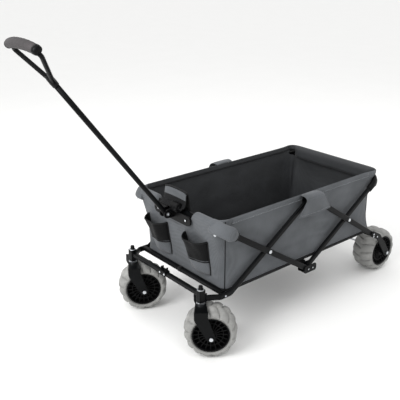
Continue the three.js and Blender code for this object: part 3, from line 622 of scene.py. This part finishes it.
def makePocket(word, middleX):
    band = pocketBand(middleX, pocket["bottomZ"], pocket["meshZ"] + pocket["lap"], 8)
    pouch = newPiece("pocket_pouch_" + word, [band], [oxfordCloth, coatedShadedCloth], "tub_body")
    bake(pouch, ("SOLIDIFY", {"thickness": pocket["cloth"], "offset": 0}))
    band = pocketBand(middleX, pocket["meshZ"], pocket["mouthZ"], 10)
    net = newPiece("pocket_net_" + word, [band], netCloth, "tub_body")
    bake(net, ("SOLIDIFY", {"thickness": pocket["cloth"], "offset": 0}))
    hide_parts("cup_pocket_" + word)
    edges = []
    count = pocket["columns"]
    for z in (pocket["mouthZ"], pocket["meshZ"]):
        path = [pocketPoint(middleX, lerp(-1, 1, j / count), z, 0.0004) for j in range(count + 1)]
        edges.append(sweep(path, ring(pocket["edge"], 10, pocket["edgeTall"]), (0, 0, 1)))
    for across in (-1, 1):
        heights = [lerp(pocket["bottomZ"], pocket["mouthZ"], i / 12) for i in range(13)]
        path = [pocketPoint(middleX, across, z, 0.0002) for z in heights]
        edges.append(sweep(path, ring(0.0034, 8, pocket["edge"]), (0, 1, 0)))
    trim = newPiece("pocket_binding_" + word, edges, webbing, "tub_body")
    for piece in (pouch, net, trim):
        squashTub(piece)


for word in ("left", "right"):
    low, high = cartBox("cup_pocket_" + word)
    makePocket(word, (low.x + high.x) / 2)
print("pockets made")


# Covers: side flaps, the flap behind the handle, and the front corners' sleeves.

cover = {
    "bottomZ": 0.4235, "topHalf": 0.040, "bottomHalf": 0.087, "edge": 0.0016, "thickness": 0.0015,
    "dropRows": 10, "columns": 20, "stitchInset": 0.007, "stitchStand": 0.0012,
    # (x, z) across the cart, from the tub's wall over the bracket to its outside
    "over": (
        (0.2325, 0.4930), (0.2400, 0.4955), (0.2520, 0.4962), (0.2640, 0.4945), (0.2715, 0.4895),
        (0.2742, 0.4820),
    ),
}


def makeSideCover(side, word):
    line, count = list(cover["over"]), cover["dropRows"]
    edgeX, edgeZ = line[-1]
    for k in range(1, count + 1):
        line.append((edgeX + 0.0006 * k / count, lerp(edgeZ, cover["bottomZ"], k / count)))
    rows = []
    for i, (x, z) in enumerate(line):
        drop = max(0.0, (edgeZ - z) / (edgeZ - cover["bottomZ"]))
        half = lerp(cover["topHalf"] + 0.002 * min(i, 5), cover["bottomHalf"], drop ** 0.95)
        row = []
        for j in range(cover["columns"] + 1):
            c = lerp(-1, 1, j / cover["columns"])
            ripple = 0.0012 * noise.noise(Vector((c * 2.5, drop * 3, side * 5)))
            inward = (0.005 * abs(c) ** 3 - ripple) * drop
            sink = 0.0025 * abs(c) ** 4 * (1 - drop) + 0.003 * (1 - c * c) * drop
            row.append((side * (x - inward), half * c + 0.003 * drop, z - sink))
        rows.append(row)
    cloths = [oxfordCloth, coatedShadedCloth]
    piece = newPiece("side_flap_" + word, [gridShell(rows)], cloths, "tub_body")
    bake(piece, ("SOLIDIFY", {"thickness": cover["thickness"], "offset": 0}))
    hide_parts("side_cover_" + word)
    border = [Vector(p) for p in [row[0] for row in rows] + rows[-1] + [row[-1] for row in rows[::-1]]]
    hem = sweep(border, ring(cover["edge"], 8), (1, 0, 0.2))
    newPiece("side_flap_hem_" + word, [hem], oxfordCloth, "tub_body")
    inset = Vector((side * cover["stitchStand"], 0, cover["stitchInset"]))
    stitched = [Vector(p) + inset for p in rows[-1]][1:-1]
    sewn = stitches(stitched, [Vector((side, 0, 0))] * len(stitched))
    newPiece("side_flap_stitches_" + word, sewn, paleThread, "tub_body")


frontFlap = {
    "half": 0.064, "greyFrom": 0.4, "greyTo": 0.66, "fold": 0.0024, "belly": 0.0035, "droop": 0.004,
    "thickness": 0.0016, "columns": 24, "hemDeep": 0.0048, "hemTall": 0.0040,
    # (y, z) up the back, over the top and down to the lower edge in front
    "line": ((-0.4300, 0.4560), (-0.4315, 0.4900), (-0.4345, 0.5200), (-0.4385, 0.5410), (-0.4425, 0.5470),
             (-0.4465, 0.5410), (-0.4490, 0.5230), (-0.4535, 0.5060), (-0.4620, 0.4970), (-0.4720, 0.4935)),
}


def makeFrontFlap():
    line = [Vector((0, y, z)) for y, z in frontFlap["line"]]
    smooth = []
    for a, b, c, d in zip([line[0]] + line, line, line[1:], line[2:] + [line[-1]]):
        for k in range(5):
            t = k / 5
            smooth.append(0.5 * (2 * b + (c - a) * t + (2 * a - 5 * b + 4 * c - d) * t ** 2
                                 + (3 * b - a - 3 * c + d) * t ** 3))
    smooth.append(line[-1])
    rows = []
    for i, p in enumerate(smooth):
        t = i / (len(smooth) - 1)
        half = frontFlap["half"] * (1 - 0.04 * math.sin(math.pi * t) - 0.10 * smoothStep((t - 0.8) / 0.2))
        row = []
        for j in range(frontFlap["columns"] + 1):
            c = lerp(-1, 1, j / frontFlap["columns"])
            belly = frontFlap["belly"] * (1 - c ** 4) * math.sin(math.pi * t)
            droop = -frontFlap["droop"] * abs(c) ** 3 * smoothStep((t - 0.2) / 0.3)
            # two slack folds run across the pouch below the grey band
            fold = frontFlap["fold"] * math.sin(t * 62 + c * 2.2) * smoothStep((t - 0.68) / 0.1)
            row.append((half * c, p.y - belly * (1 if t > 0.45 else -0.4) + fold * 0.5, p.z + droop + fold))
        rows.append(row)
    cloths = [oxfordCloth, flapShadeCloth, flapShadeCloth]
    piece = newPiece("front_flap", [gridShell(rows)], cloths, "front_hoop_frame")
    # outside the grey band, on its back and lower pouch, the flap takes the near-black cloth as painted shade
    for k, polygon in enumerate(piece.data.polygons):
        share = k // frontFlap["columns"] / (len(rows) - 1)
        polygon.material_index = 0 if frontFlap["greyFrom"] < share < frontFlap["greyTo"] else 1
    bake(piece, ("SOLIDIFY", {"thickness": frontFlap["thickness"], "offset": 0}))
    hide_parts("front_cover")
    middle = frontFlap["columns"] // 2
    topRow = max(rows, key=lambda row: row[middle][2])
    hemLine = [Vector(p) + Vector((0, 0, 0.0006)) for p in topRow]
    edge = [sweep(hemLine, ring(frontFlap["hemDeep"], 10, frontFlap["hemTall"]), (0, 0, 1)),
            sweep([Vector(p) for p in rows[-1]], ring(0.0030, 10, 0.0014), (0, 0, 1))]
    for column in (0, -1):
        edge.append(sweep([Vector(row[column]) for row in rows], ring(0.0016, 8), (1, 0, 0)))
    newPiece("front_flap_binding", edge, webbing, "front_hoop_frame")


sleeve = {
    "thin": 0.0135, "tall": 0.0250, "innerX": 0.196, "alongBar": 0.022, "bend": 0.045,
    "spacing": 0.006, "endShare": 0.62, "cuffFrom": 0.004, "cuffTo": 0.0005,
}


def hoopLine(side, node, end):
    # centreline of a hoop's corner: along the cross tube, round the bend and down the side bar
    low, high = cartBox(node)
    slope = math.atan2(high.z - low.z - 0.034, abs(high.y - low.y) - 0.033)
    y = end * (max(abs(low.y), abs(high.y)) - 0.0105)
    z = high.z - 0.0125
    x = high.x - 0.006
    way = Vector((0, -end * math.cos(slope), -math.sin(slope)))
    corner = Vector((side * x, y, z))
    start = Vector((side * sleeve["innerX"], y, z))
    return [start, corner, corner + way * (sleeve["bend"] + sleeve["alongBar"])], slope


def makeSleeve(side, word):
    corners, slope = hoopLine(side, "front_hoop", -1)
    path = roundedPath(corners, sleeve["bend"], 12)
    dense = []
    for a, b in zip(path, path[1:]):
        count = max(1, round((b - a).length / sleeve["spacing"]))
        dense += [a.lerp(b, k / count) for k in range(count)]
    dense.append(path[-1])
    tall = (0, math.sin(slope), math.cos(slope))
    scales = []
    for i in range(len(dense)):
        t = i / (len(dense) - 1)
        taper = lerp(1.0, sleeve["endShare"], smoothStep((t - 0.72) / 0.28))
        full = 1 + 0.05 * math.sin(t * 17 + side) * (1 - t)
        scales.append((taper * full, taper * (1 + 0.04 * math.sin(t * 11))))
    shell = sweep(dense, ring(sleeve["thin"], 28, sleeve["tall"], 0.8), tall, scales)
    piece = newPiece("corner_sleeve_" + word, [shell], oxfordCloth, "front_hoop_frame")
    cuff = dense[-1]
    way = (dense[-1] - dense[-2]).normalized()
    ringPath = [cuff - way * sleeve["cuffFrom"], cuff + way * sleeve["cuffTo"]]
    binding = sweep(ringPath, ring(sleeve["thin"] * 0.66, 24, sleeve["tall"] * 0.65, 0.8), tall)
    newPiece("corner_sleeve_cuff_" + word, [binding], webbing, "front_hoop_frame")


for side, word in ((1, "left"), (-1, "right")):
    makeSideCover(side, word)
    makeSleeve(side, word)
makeFrontFlap()
print("covers made")


# Floor boards in their cloth cover.

floorPad = {
    "thickness": 0.0065, "groove": 0.0011, "roundOver": 0.006, "roundDrop": 0.003,
    "columns": 36, "lines": 32,
}


def makeFloorPad(word):
    low, high = cartBox("floor_leaf_" + word)
    rows = []
    columns, lines = floorPad["columns"], floorPad["lines"]
    for i in range(lines + 1):
        y = lerp(low.y, high.y, i / lines)
        row = []
        for j in range(columns + 1):
            x = lerp(low.x, high.x, j / columns)
            edge = min(x - low.x, high.x - x, y - low.y, high.y - y)
            rounding = min(1.0, edge / floorPad["roundOver"])
            crown = floorPad["thickness"] - floorPad["roundDrop"] * (1 - rounding) ** 2
            seam = 2 * (y - low.y) / (high.y - low.y) - 1  # one sewn line across the middle of the leaf
            crown -= floorPad["groove"] * math.exp(-(seam * 28) ** 2)
            crown += 0.0004 * noise.noise(Vector((x * 14, y * 14, 2)))
            row.append((x, y, low.z + crown))
        rows.append(row)
    flat = [[(p[0], p[1], low.z) for p in row] for row in rows]
    shells = [gridShell(rows), gridShell(flat)]
    shells += [gridShell([rows[k], flat[k]]) for k in (0, -1)]
    for k in (0, -1):
        shells.append(gridShell([[row[k] for row in rows], [row[k] for row in flat]]))
    piece = newPiece("floor_pad_" + word, shells, boardCloth, "floor_" + word)
    merge = bmesh.new()
    merge.from_mesh(piece.data)
    bmesh.ops.remove_doubles(merge, verts=merge.verts, dist=1e-6)
    bmesh.ops.recalc_face_normals(merge, faces=merge.faces)
    merge.to_mesh(piece.data)
    merge.free()
    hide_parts("floor_leaf_" + word)


makeFloorPad("front")
makeFloorPad("rear")
print("floor made")


# Wheels: lobed tyres on ribbed hubs.

tyre = {
    "lobes": 14, "grooveDepth": 0.0075, "grooveShare": 0.2, "around": 224, "across": 28, "rim": 0.0680,
    "slant": 0.42, "lobeRise": 0.0018, "beadShare": 0.925,  # slant in lobes, bead in halves of the width
}


def makeTyre(centre, axis, radius, half, name, body, node):
    turn = Vector((1, 0, 0)).rotation_difference(Vector(axis))
    rows = []
    for i in range(tyre["around"]):
        a = 2 * math.pi * i / tyre["around"]
        row = []
        for j in range(tyre["across"] + 1):
            p = lerp(-1, 1, j / tyre["across"]) * math.pi / 2
            across = math.copysign(abs(math.sin(p)) ** 0.86, p)
            bulge = max(0.0, math.cos(p)) ** 0.55
            r = tyre["rim"] + (radius - tyre["rim"]) * bulge
            # the lobes slant away from the centre line and stand half a lobe apart on its two sides
            turned = a * tyre["lobes"] / (2 * math.pi) + tyre["slant"] * abs(across)
            phase = (turned + (0.5 if across < 0 else 0)) % 1
            distance = abs(phase - 0.5) * 2
            groove = 1 - smoothStep((1 - distance) / tyre["grooveShare"])
            centreLine = 1 - smoothStep(abs(across) / 0.06)
            depth = tyre["grooveDepth"] * max(groove * smoothStep((bulge - 0.35) / 0.3), 0.35 * centreLine)
            lobe = tyre["lobeRise"] * math.cos(2 * math.pi * phase) * smoothStep((bulge - 0.2) / 0.4)
            r -= depth + tyre["lobeRise"] + lobe
            x = across * half * (tyre["beadShare"] if bulge < 0.02 else 1)
            row.append(turn @ Vector((x, r * math.cos(a), r * math.sin(a))) + Vector(centre))
        inner = [(tyre["beadShare"] * half, tyre["rim"]), (-tyre["beadShare"] * half, tyre["rim"])]
        row += [turn @ Vector((x, r * math.cos(a), r * math.sin(a))) + Vector(centre) for x, r in inner]
        rows.append(row)
    shell = gridShell(rows, closedAcross=True, closedAlong=True)
    piece = newPiece(name, [shell], softTyre, body)
    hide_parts(node)


hub = {
    "ribs": 20, "lip": 0.0030, "discAt": 0.026, "rib": 0.0016, "boss": 0.0205, "spacer": 0.0115,
    "bore": 0.0064, "ringAt": 0.0425, "ringTo": 0.0455, "ringInset": 0.0085,
}


def makeHub(centre, axis, half, reach, name, body, node):
    outer = tyre["rim"] - 0.0005
    lipX, discX = half - hub["lip"], hub["discAt"]
    boss, spacer = hub["boss"], hub["spacer"]
    # from the rim's lip down to the disc, up over the boss and out along the spacer
    face = [
        (lipX - 0.001, outer), (lipX, outer - 0.0015), (lipX, outer - 0.0045),
        (lipX - 0.004, outer - 0.0065), (discX, outer - 0.0090), (discX, boss + 0.003),
        (discX + 0.004, boss), (lipX - 0.003, boss - 0.001), (lipX - 0.002, boss - 0.0035),
        (lipX - 0.006, 0.0150), (lipX - 0.006, spacer), (reach, spacer - 0.001), (reach, hub["bore"]),
    ]
    profile = face + [(-x, r) for x, r in face[::-1]]
    ribLine = [
        (discX - 0.002, boss - 0.001), (discX - 0.002, outer - 0.004), (lipX - 0.006, outer - 0.005),
        (lipX - 0.0075, 0.050), (lipX - 0.011, 0.034), (lipX - 0.007, boss - 0.001),
    ]
    shells = [spin(profile, 72, centre, axis)]
    turn = Vector((1, 0, 0)).rotation_difference(Vector(axis))
    for i in range(hub["ribs"]):
        a = 2 * math.pi * i / hub["ribs"]
        radial = Vector((0, math.cos(a), math.sin(a)))
        sideways = Vector((0, -math.sin(a), math.cos(a)))
        for end in (-1, 1):
            points = []
            for x, r in ribLine:
                for s in (-1, 1):
                    onRib = Vector((end * x, 0, 0)) + radial * r + sideways * s * hub["rib"]
                    points.append(turn @ onRib + Vector(centre))
            faces = [[0, 2, 4, 6, 8, 10], [11, 9, 7, 5, 3, 1]]
            faces += [[2 * k, 2 * k + 1, (2 * k + 3) % 12, (2 * k + 2) % 12] for k in range(6)]
            shells.append((points, faces))
    ringX, ringR, ringTop = lipX - hub["ringInset"], hub["ringAt"], hub["ringTo"]
    for end in (1, -1):
        stiffener = [(ringX, ringR), (ringX, ringTop), (discX - 0.001, ringTop), (discX - 0.001, ringR)]
        shells.append(spin([(end * x, r) for x, r in stiffener], 48, centre, axis))
    piece = newPiece(name, shells, moulded, body, smooth=False)
    bake(piece, ("BEVEL", {"width": 0.0006, "segments": 2, "limit_method": "ANGLE"}))
    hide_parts(node)


# The rear wheels stand square to the cart, so their boxes give every wheel's size.
tyreLow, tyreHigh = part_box("tyre_rear_left")
hubLow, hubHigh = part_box("hub_rear_left")
tyreSize, hubSize = (tyreHigh - tyreLow) / 2, (hubHigh - hubLow) / 2
for corner in ("front_left", "front_right", "rear_left", "rear_right"):
    joint = joints["wheel_spin_" + corner]
    centre = Vector(joint["pos_m"]) - cartMiddle
    wheelBody, tyreNode, hubNode = "wheel_" + corner, "tyre_" + corner, "hub_" + corner
    makeTyre(centre, joint["axis"], tyreSize.z, tyreSize.x, tyreNode + "_lobed", wheelBody, tyreNode)
    makeHub(centre, joint["axis"], tyreSize.x, hubSize.x, hubNode + "_ribbed", wheelBody, hubNode)
print("wheels made")


# Handle, built along the line from its pivot to its grip.

handle = {
    "radius": 0.0090, "loopRadius": 0.0070, "gripRadius": 0.0140, "gripTall": 0.0155, "gripBow": 0.014,
    "tubeLength": 0.650, "yoke": 0.658, "loopTop": 0.766, "loopHalf": 0.087, "gripHalf": 0.091,
    "gripAbove": 0.015,
}
swing = joints["handle_swing"]
pivot = Vector(swing["pos_m"]) - cartMiddle
gripLow, gripHigh = cartBox("grip")
gripMiddle = (gripLow + gripHigh) / 2
alongHandle = Vector((0, gripMiddle.y - pivot.y, gripMiddle.z - pivot.z)).normalized()
acrossHandle = Vector((1, 0, 0)).cross(alongHandle)


def onHandle(x, along, lift=0.0):
    return pivot + Vector((x, 0, 0)) + alongHandle * along + acrossHandle * lift


def makeHandle():
    path = [onHandle(0, a) for a in (-0.007, 0.010, 0.200, 0.400, handle["tubeLength"])]
    tube = sweep(path, ring(handle["radius"] - 0.0002, 32), (1, 0, 0))
    eye = spin([(-0.0085, 0.0045), (-0.0085, 0.0088), (0.0085, 0.0088), (0.0085, 0.0045)], 28, pivot)
    newTube = newPiece("handle_shaft", [tube, eye], powderCoat, "handle")
    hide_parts("handle_tube")
    yoke, top, half = handle["yoke"], handle["loopTop"], handle["loopHalf"]
    shells = []
    # two arms that spread from the shaft and turn in under the grip
    for side in (-1, 1):
        corners = [onHandle(side * 0.003, yoke - 0.014), onHandle(side * 0.010, yoke + 0.002),
                   onHandle(side * half, top), onHandle(side * (half - 0.026), top + 0.010)]
        path = roundedPath(corners, 0.010, 7)
        shells.append(sweep(path, ring(handle["loopRadius"], 20), tuple(acrossHandle)))
    # a collar where they meet: distance from the yoke, radius, and how much wider than deep
    collar, sides = [], 28
    turns = [2 * math.pi * k / sides for k in range(sides)]
    for away, r, wide in (
        (-0.026, 0.0094, 1.0), (-0.025, 0.0108, 1.0), (-0.008, 0.0112, 1.0),
        (0.004, 0.0108, 1.25), (0.014, 0.0090, 1.55), (0.017, 0.0060, 1.7),
    ):
        collar.append([onHandle(r * wide * math.cos(t), yoke + away, r * math.sin(t)) for t in turns])
    shells.append(capped(gridShell(collar, closedAcross=True), sides))
    loop = newPiece("handle_yoke", shells, moulded, "handle")
    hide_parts("handle_loop")
    path, scales = [], []
    for k in range(33):
        c = lerp(-1, 1, k / 32)
        bow = handle["gripBow"] * (1 - abs(c) ** 2.6)
        path.append(onHandle(handle["gripHalf"] * c, top + handle["gripAbove"] + bow))
        swell = 0.92 + 0.1 * math.cos(c * math.pi / 2)
        ridge = 0.02 * math.cos(c * math.pi * 9) if abs(c) < 0.8 else 0
        close = 1 - 0.25 * smoothStep((abs(c) - 0.93) / 0.07)
        scales.append(((swell + ridge) * close, (swell + ridge) * close))
    section = ring(handle["gripRadius"], 28, handle["gripTall"], 0.9)
    shell = sweep(path, section, tuple(acrossHandle), scales)
    grip = newPiece("handle_grip", [shell], foam, "handle")
    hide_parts("grip")
    caps = []
    for side in (-1, 1):
        ends = [path[0], path[1], path[2]] if side < 0 else [path[-1], path[-2], path[-3]]
        line = [ends[0] + (ends[0] - ends[1]) * 0.35, ends[0], ends[1], ends[2]]
        caps.append(sweep(line, ring(handle["gripRadius"] * 0.97, 24, handle["gripTall"] * 0.97, 0.9),
                          tuple(acrossHandle), [(0.72, 0.72), (0.93, 0.93), (1.0, 1.0), (1.02, 1.02)]))
    newPiece("handle_grip_collars", caps, moulded, "handle")


makeHandle()
print("handle made")


# Castor nuts, rivets, corner caps, the catch beside the handle and the strap loop.

nut = {
    "washerBore": 0.0064, "washerRadius": 0.0128, "washerTop": 0.0014, "flutes": 18, "fluteDepth": 0.0004,
    # (height above the CAD nut's foot, radius, share of a flute) and the same below its top
    "foot": ((0.0016, 0.0088, 0), (0.0030, 0.0088, 0), (0.0034, 0.0080, 1)),
    "top": ((-0.0030, 0.0076, 1), (-0.0012, 0.0064, 0.4), (-0.0002, 0.0040, 0)),
}


def makeKnobs(word):
    low, high = cartBox("castor_knob_" + word)
    centre = ((low.x + high.x) / 2, (low.y + high.y) / 2)
    bore, edge = nut["washerBore"], nut["washerRadius"]
    under, over = low.z - 0.0002, low.z + nut["washerTop"]
    section = [(under, bore), (under, edge), (over, edge), (over, bore)]
    washer = spin(section, 32, (centre[0], centre[1], 0), (0, 0, 1))
    newPiece("castor_washer_" + word, [washer], zincPlate, "castor_" + word)
    rows, sides = [], 2 * nut["flutes"]
    levels = [(low.z + z, r, flute) for z, r, flute in nut["foot"]]
    levels += [(high.z + z, r, flute) for z, r, flute in nut["top"]]
    for z, r, flute in levels:
        row = []
        for k in range(sides):
            a, reach = 2 * math.pi * k / sides, r - nut["fluteDepth"] * flute * (k % 2)
            row.append((centre[0] + reach * math.cos(a), centre[1] + reach * math.sin(a), z))
        rows.append(row)
    shell = capped(gridShell(rows, closedAcross=True), sides)
    knob = newPiece("castor_nut_" + word, [shell], moulded, "castor_" + word)
    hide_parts("castor_knob_" + word)


rivet = {
    "radius": 0.0046, "height": 0.0020,
    "legAt": (-0.427, 0.217), "armAt": ((0.400, 0.2162), (0.400, 0.2062), (0.427, 0.1985)),  # (y, z)
    "bracketY": 0.012, "bracketZ": 0.190, "clipX": 0.013, "clipBelow": 0.006, "pinX": 0.0195,
    "sleeveAt": (0.2262, -0.4572, 0.449), "sleeveTurn": (0.33, -0.94, 0), "plateAt": (0.079, -0.4670, 0.456),
}


def makeRivets():
    heads = {}

    def put(body, centre, axis, scale=1.0):
        head = dome(centre, axis, rivet["radius"] * scale, rivet["height"] * scale)
        heads.setdefault(body, []).append(head)

    for side, word in ((1, "left"), (-1, "right")):
        legLow, legHigh = cartBox("front_leg_" + word)
        legX = max(abs(legLow.x), abs(legHigh.x))
        put("front_leg_frame", (side * legX, *rivet["legAt"]), (side, 0, 0), 0.9)
        armLow, armHigh = cartBox("rear_arm_" + word)
        armX = max(abs(armLow.x), abs(armHigh.x))
        for y, z in rivet["armAt"]:
            put("rear_leg_frame", (side * armX, y, z), (side, 0, 0), 0.85)
        low, high = cartBox("middle_bracket_" + word)
        edge = max(abs(low.x), abs(high.x))
        for y in (-rivet["bracketY"], rivet["bracketY"]):
            put("middle_frame", (side * edge, y, rivet["bracketZ"]), (side, 0, 0), 0.7)
        mirror = Vector((side, 1, 1))
        facing = mirror * Vector(rivet["sleeveTurn"])
        put("front_hoop_frame", mirror * Vector(rivet["sleeveAt"]), facing, 1.2)
        put("front_hoop_frame", mirror * Vector(rivet["plateAt"]), (0, -1, 0), 1.0)
        put("front_hoop_frame", (side * rivet["pinX"], pivot.y, pivot.z), (side, 0, 0), 0.9)
        clipLow, clipHigh = cartBox("castor_bar_clip")
        clipZ = (clipLow.z + clipHigh.z) / 2 - rivet["clipBelow"]
        put("front_leg_frame", (side * rivet["clipX"], clipLow.y, clipZ), (0, -1, 0), 0.95)
    for body, shells in heads.items():
        newPiece("rivets_" + body, shells, zincPlate, body)


cornerCap = {
    "thin": 0.0105, "tall": 0.0165, "innerX": 0.186, "alongBar": 0.030, "bend": 0.045,
    # the strap hook: how far out and down each point is, and its size there
    "hook": ((0.004, 0), (0.007, -0.012), (0.006, -0.022), (0.001, -0.030)),
    "hookScale": ((1, 1), (1, 1), (0.9, 0.85), (0.6, 0.5)), "hookThin": 0.0045, "hookWide": 0.0095,
    "hookBelow": 0.008,
}


def makeCornerCap(side, word):
    # moulded cap that follows the hoop's corner, with a strap hook under its outer end
    corners, slope = hoopLine(side, "rear_hoop", 1)
    start, corner = Vector(corners[0]), Vector(corners[1])
    start.x = side * cornerCap["innerX"]
    way = (Vector(corners[2]) - corner).normalized()
    end = corner + way * (cornerCap["bend"] + cornerCap["alongBar"])
    path = roundedPath([start, corner, end], cornerCap["bend"], 14)
    tall = (0, -math.sin(slope), math.cos(slope))
    fullness = [math.sin(math.pi * i / (len(path) - 1)) for i in range(len(path))]
    scales = [(0.9 + 0.1 * full, 0.84 + 0.16 * full) for full in fullness]
    shells = [sweep(path, ring(cornerCap["thin"], 28, cornerCap["tall"], 0.7), tall, scales)]
    foot = path[len(path) // 2] + Vector((0, 0, -cornerCap["hookBelow"]))
    out = Vector((side * 0.5, 0.86, 0)).normalized()
    hook = [foot + out * away + Vector((0, 0, down)) for away, down in cornerCap["hook"]]
    section = ring(cornerCap["hookThin"], 14, cornerCap["hookWide"], 0.8)
    shells.append(sweep(hook, section, (side * 0.86, -0.5, 0), cornerCap["hookScale"]))
    cap = newPiece("corner_cap_" + word, shells, moulded, "rear_hoop_frame")
    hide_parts("rear_corner_" + word)


catch = {"radius": 0.0175, "fromX": 0.0135, "toX": 0.0500, "lift": 0.0270, "back": 0.0240}


def makeCatch():
    # rounded drum on the bracket beside the handle, with a press button on its end
    centre = (0, pivot.y + catch["back"], pivot.z + catch["lift"])
    r, near, far = catch["radius"], catch["fromX"], catch["toX"]
    drum = spin([(near, 0.004), (near, r - 0.002), (near + 0.002, r), (far - 0.003, r), (far, r - 0.003),
                 (far, 0.004)], 36, centre)
    button = spin([(far - 0.001, 0.0005), (far - 0.001, 0.0075), (far + 0.0025, 0.0068),
                   (far + 0.0032, 0.0005)], 28, centre)
    shells = [drum, button]
    piece = newPiece("handle_catch", shells, moulded, "front_hoop_frame", smooth=False)
    bake(piece, ("BEVEL", {"width": 0.0006, "segments": 2, "limit_method": "ANGLE"}))


strapLoop = {"halfWidth": 0.009, "stand": 0.0012, "sides": 25, "squareness": 0.45, "inner": 0.93}


def makeStrapLoop():
    # webbing tab that ties the front panel's bottom to the bar in front of it
    low, high = cartBox("front_lower_bar")
    middleY, middleZ = (low.y + high.y) / 2, (low.z + high.z) / 2
    half = (high.z - low.z) / 2 + strapLoop["stand"]
    wide = strapLoop["halfWidth"]
    around = ring(half, strapLoop["sides"], power=strapLoop["squareness"])
    rows = []
    for x, share in ((-wide, 1), (wide, 1), (wide, strapLoop["inner"]), (-wide, strapLoop["inner"])):
        rows.append([Vector((x, middleY + y * share, middleZ + z * share)) for y, z in around])
    loop = gridShell(rows, closedAcross=True, closedAlong=True)
    newPiece("front_strap_loop", [loop], webbing, "front_leg_frame")


for side, word in ((1, "left"), (-1, "right")):
    makeKnobs(word)
    makeCornerCap(side, word)
makeRivets()
makeCatch()
makeStrapLoop()
print("fittings made")


# Finishes on the frame's own nodes.

finishes = {
    "frame_paint": powderCoat, "zinc_steel": zincPlate, "black_plastic": moulded, "grey_tyre": softTyre,
    "grip_foam": foam, "grey_cloth": oxfordCloth, "pocket_mesh": netCloth, "floor_board": boardCloth,
}
slotOf = {entry["node"]: entry["material_slot"] for entry in frame["record"]["subparts"]}
for name, node in frame["nodes"].items():
    node.data.materials.clear()
    node.data.materials.append(finishes[slotOf[name]])
print("finishes set")


# Studio: pale floor, soft light and the camera.

studio = {
    "floorColor": "#f4f4f3", "floorShade": "#f1f1f0", "floorSize": 60.0, "worldStrength": 0.85,
    "skyPower": 0.6, "skySpread": 70, "skyAim": (-0.35, 0.40, -1.0), "lampAim": (0, -0.2, 0.35),
    # name, place, size in metres and power in watts
    "lamps": (
        ("key", (0.3, -2.9, 2.1), 1.6, 62), ("fill", (-2.6, -1.2, 1.9), 2.2, 14),
        ("back", (0.4, 2.8, 2.6), 2.0, 16),
    ),
    "camera": (1.675, -1.733, 1.336), "target": (0.030, -0.358, 0.492), "lens": 57.06,
}


def addToScene(name, data, spot, aim):
    holder = bpy.data.objects.new(name, data)
    holder.location = spot
    holder.rotation_euler = aim.to_track_quat("-Z", "Y").to_euler()
    bpy.context.scene.collection.objects.link(holder)
    return holder


def makeStudio():
    size = studio["floorSize"]
    mesh = bpy.data.meshes.new("studio_floor")
    corners = [(-size, -size, 0), (size, -size, 0), (size, size, 0), (-size, size, 0)]
    mesh.from_pydata(corners, [], [[0, 1, 2, 3]])
    floor = bpy.data.objects.new("studio_floor", mesh)
    bpy.context.scene.collection.objects.link(floor)
    # Painted studio floor, rolled: almost white, with a faint mottle.
    paint, shader = newMaterial("studio_floor_rolled_paint", Roughness=0.9)
    where = addNode(paint, "TexCoord").outputs["Object"]
    mottle = addNode(paint, "TexNoise", {"Scale": 3.0, "Detail": 3.0}, {"Vector": where})
    stops = ((0, studio["floorShade"]), (1, studio["floorColor"]))
    ramp = addNode(paint, "ValToRGB", links={"Fac": mottle.outputs["Fac"]}, stops=stops)
    connect(paint, ramp.outputs["Color"], shader.inputs["Base Color"])
    mesh.materials.append(paint)
    world = bpy.data.worlds.new("studio_world")
    bpy.context.scene.world = world
    world.use_nodes = True
    background = world.node_tree.nodes["Background"]
    background.inputs["Color"].default_value = (1, 1, 1, 1)
    background.inputs["Strength"].default_value = studio["worldStrength"]
    for name, place, size, power in studio["lamps"]:
        lamp = bpy.data.lights.new(name, "AREA")
        lamp.size, lamp.energy = size, power
        spot = cartMiddle + Vector(place)
        addToScene(name, lamp, spot, cartMiddle + Vector(studio["lampAim"]) - spot)
    sky = bpy.data.lights.new("sky", "SUN")
    sky.energy, sky.angle = studio["skyPower"], math.radians(studio["skySpread"])
    addToScene("sky", sky, (0, 0, 0), Vector(studio["skyAim"]))
    view = bpy.data.cameras.new("camera")
    view.lens, view.sensor_width = studio["lens"], 36.0
    spot = cartMiddle + Vector(studio["camera"])
    camera = addToScene("camera", view, spot, cartMiddle + Vector(studio["target"]) - spot)
    bpy.context.scene.camera = camera
    bpy.context.scene.view_settings.view_transform = "Standard"


makeStudio()
print("studio made")
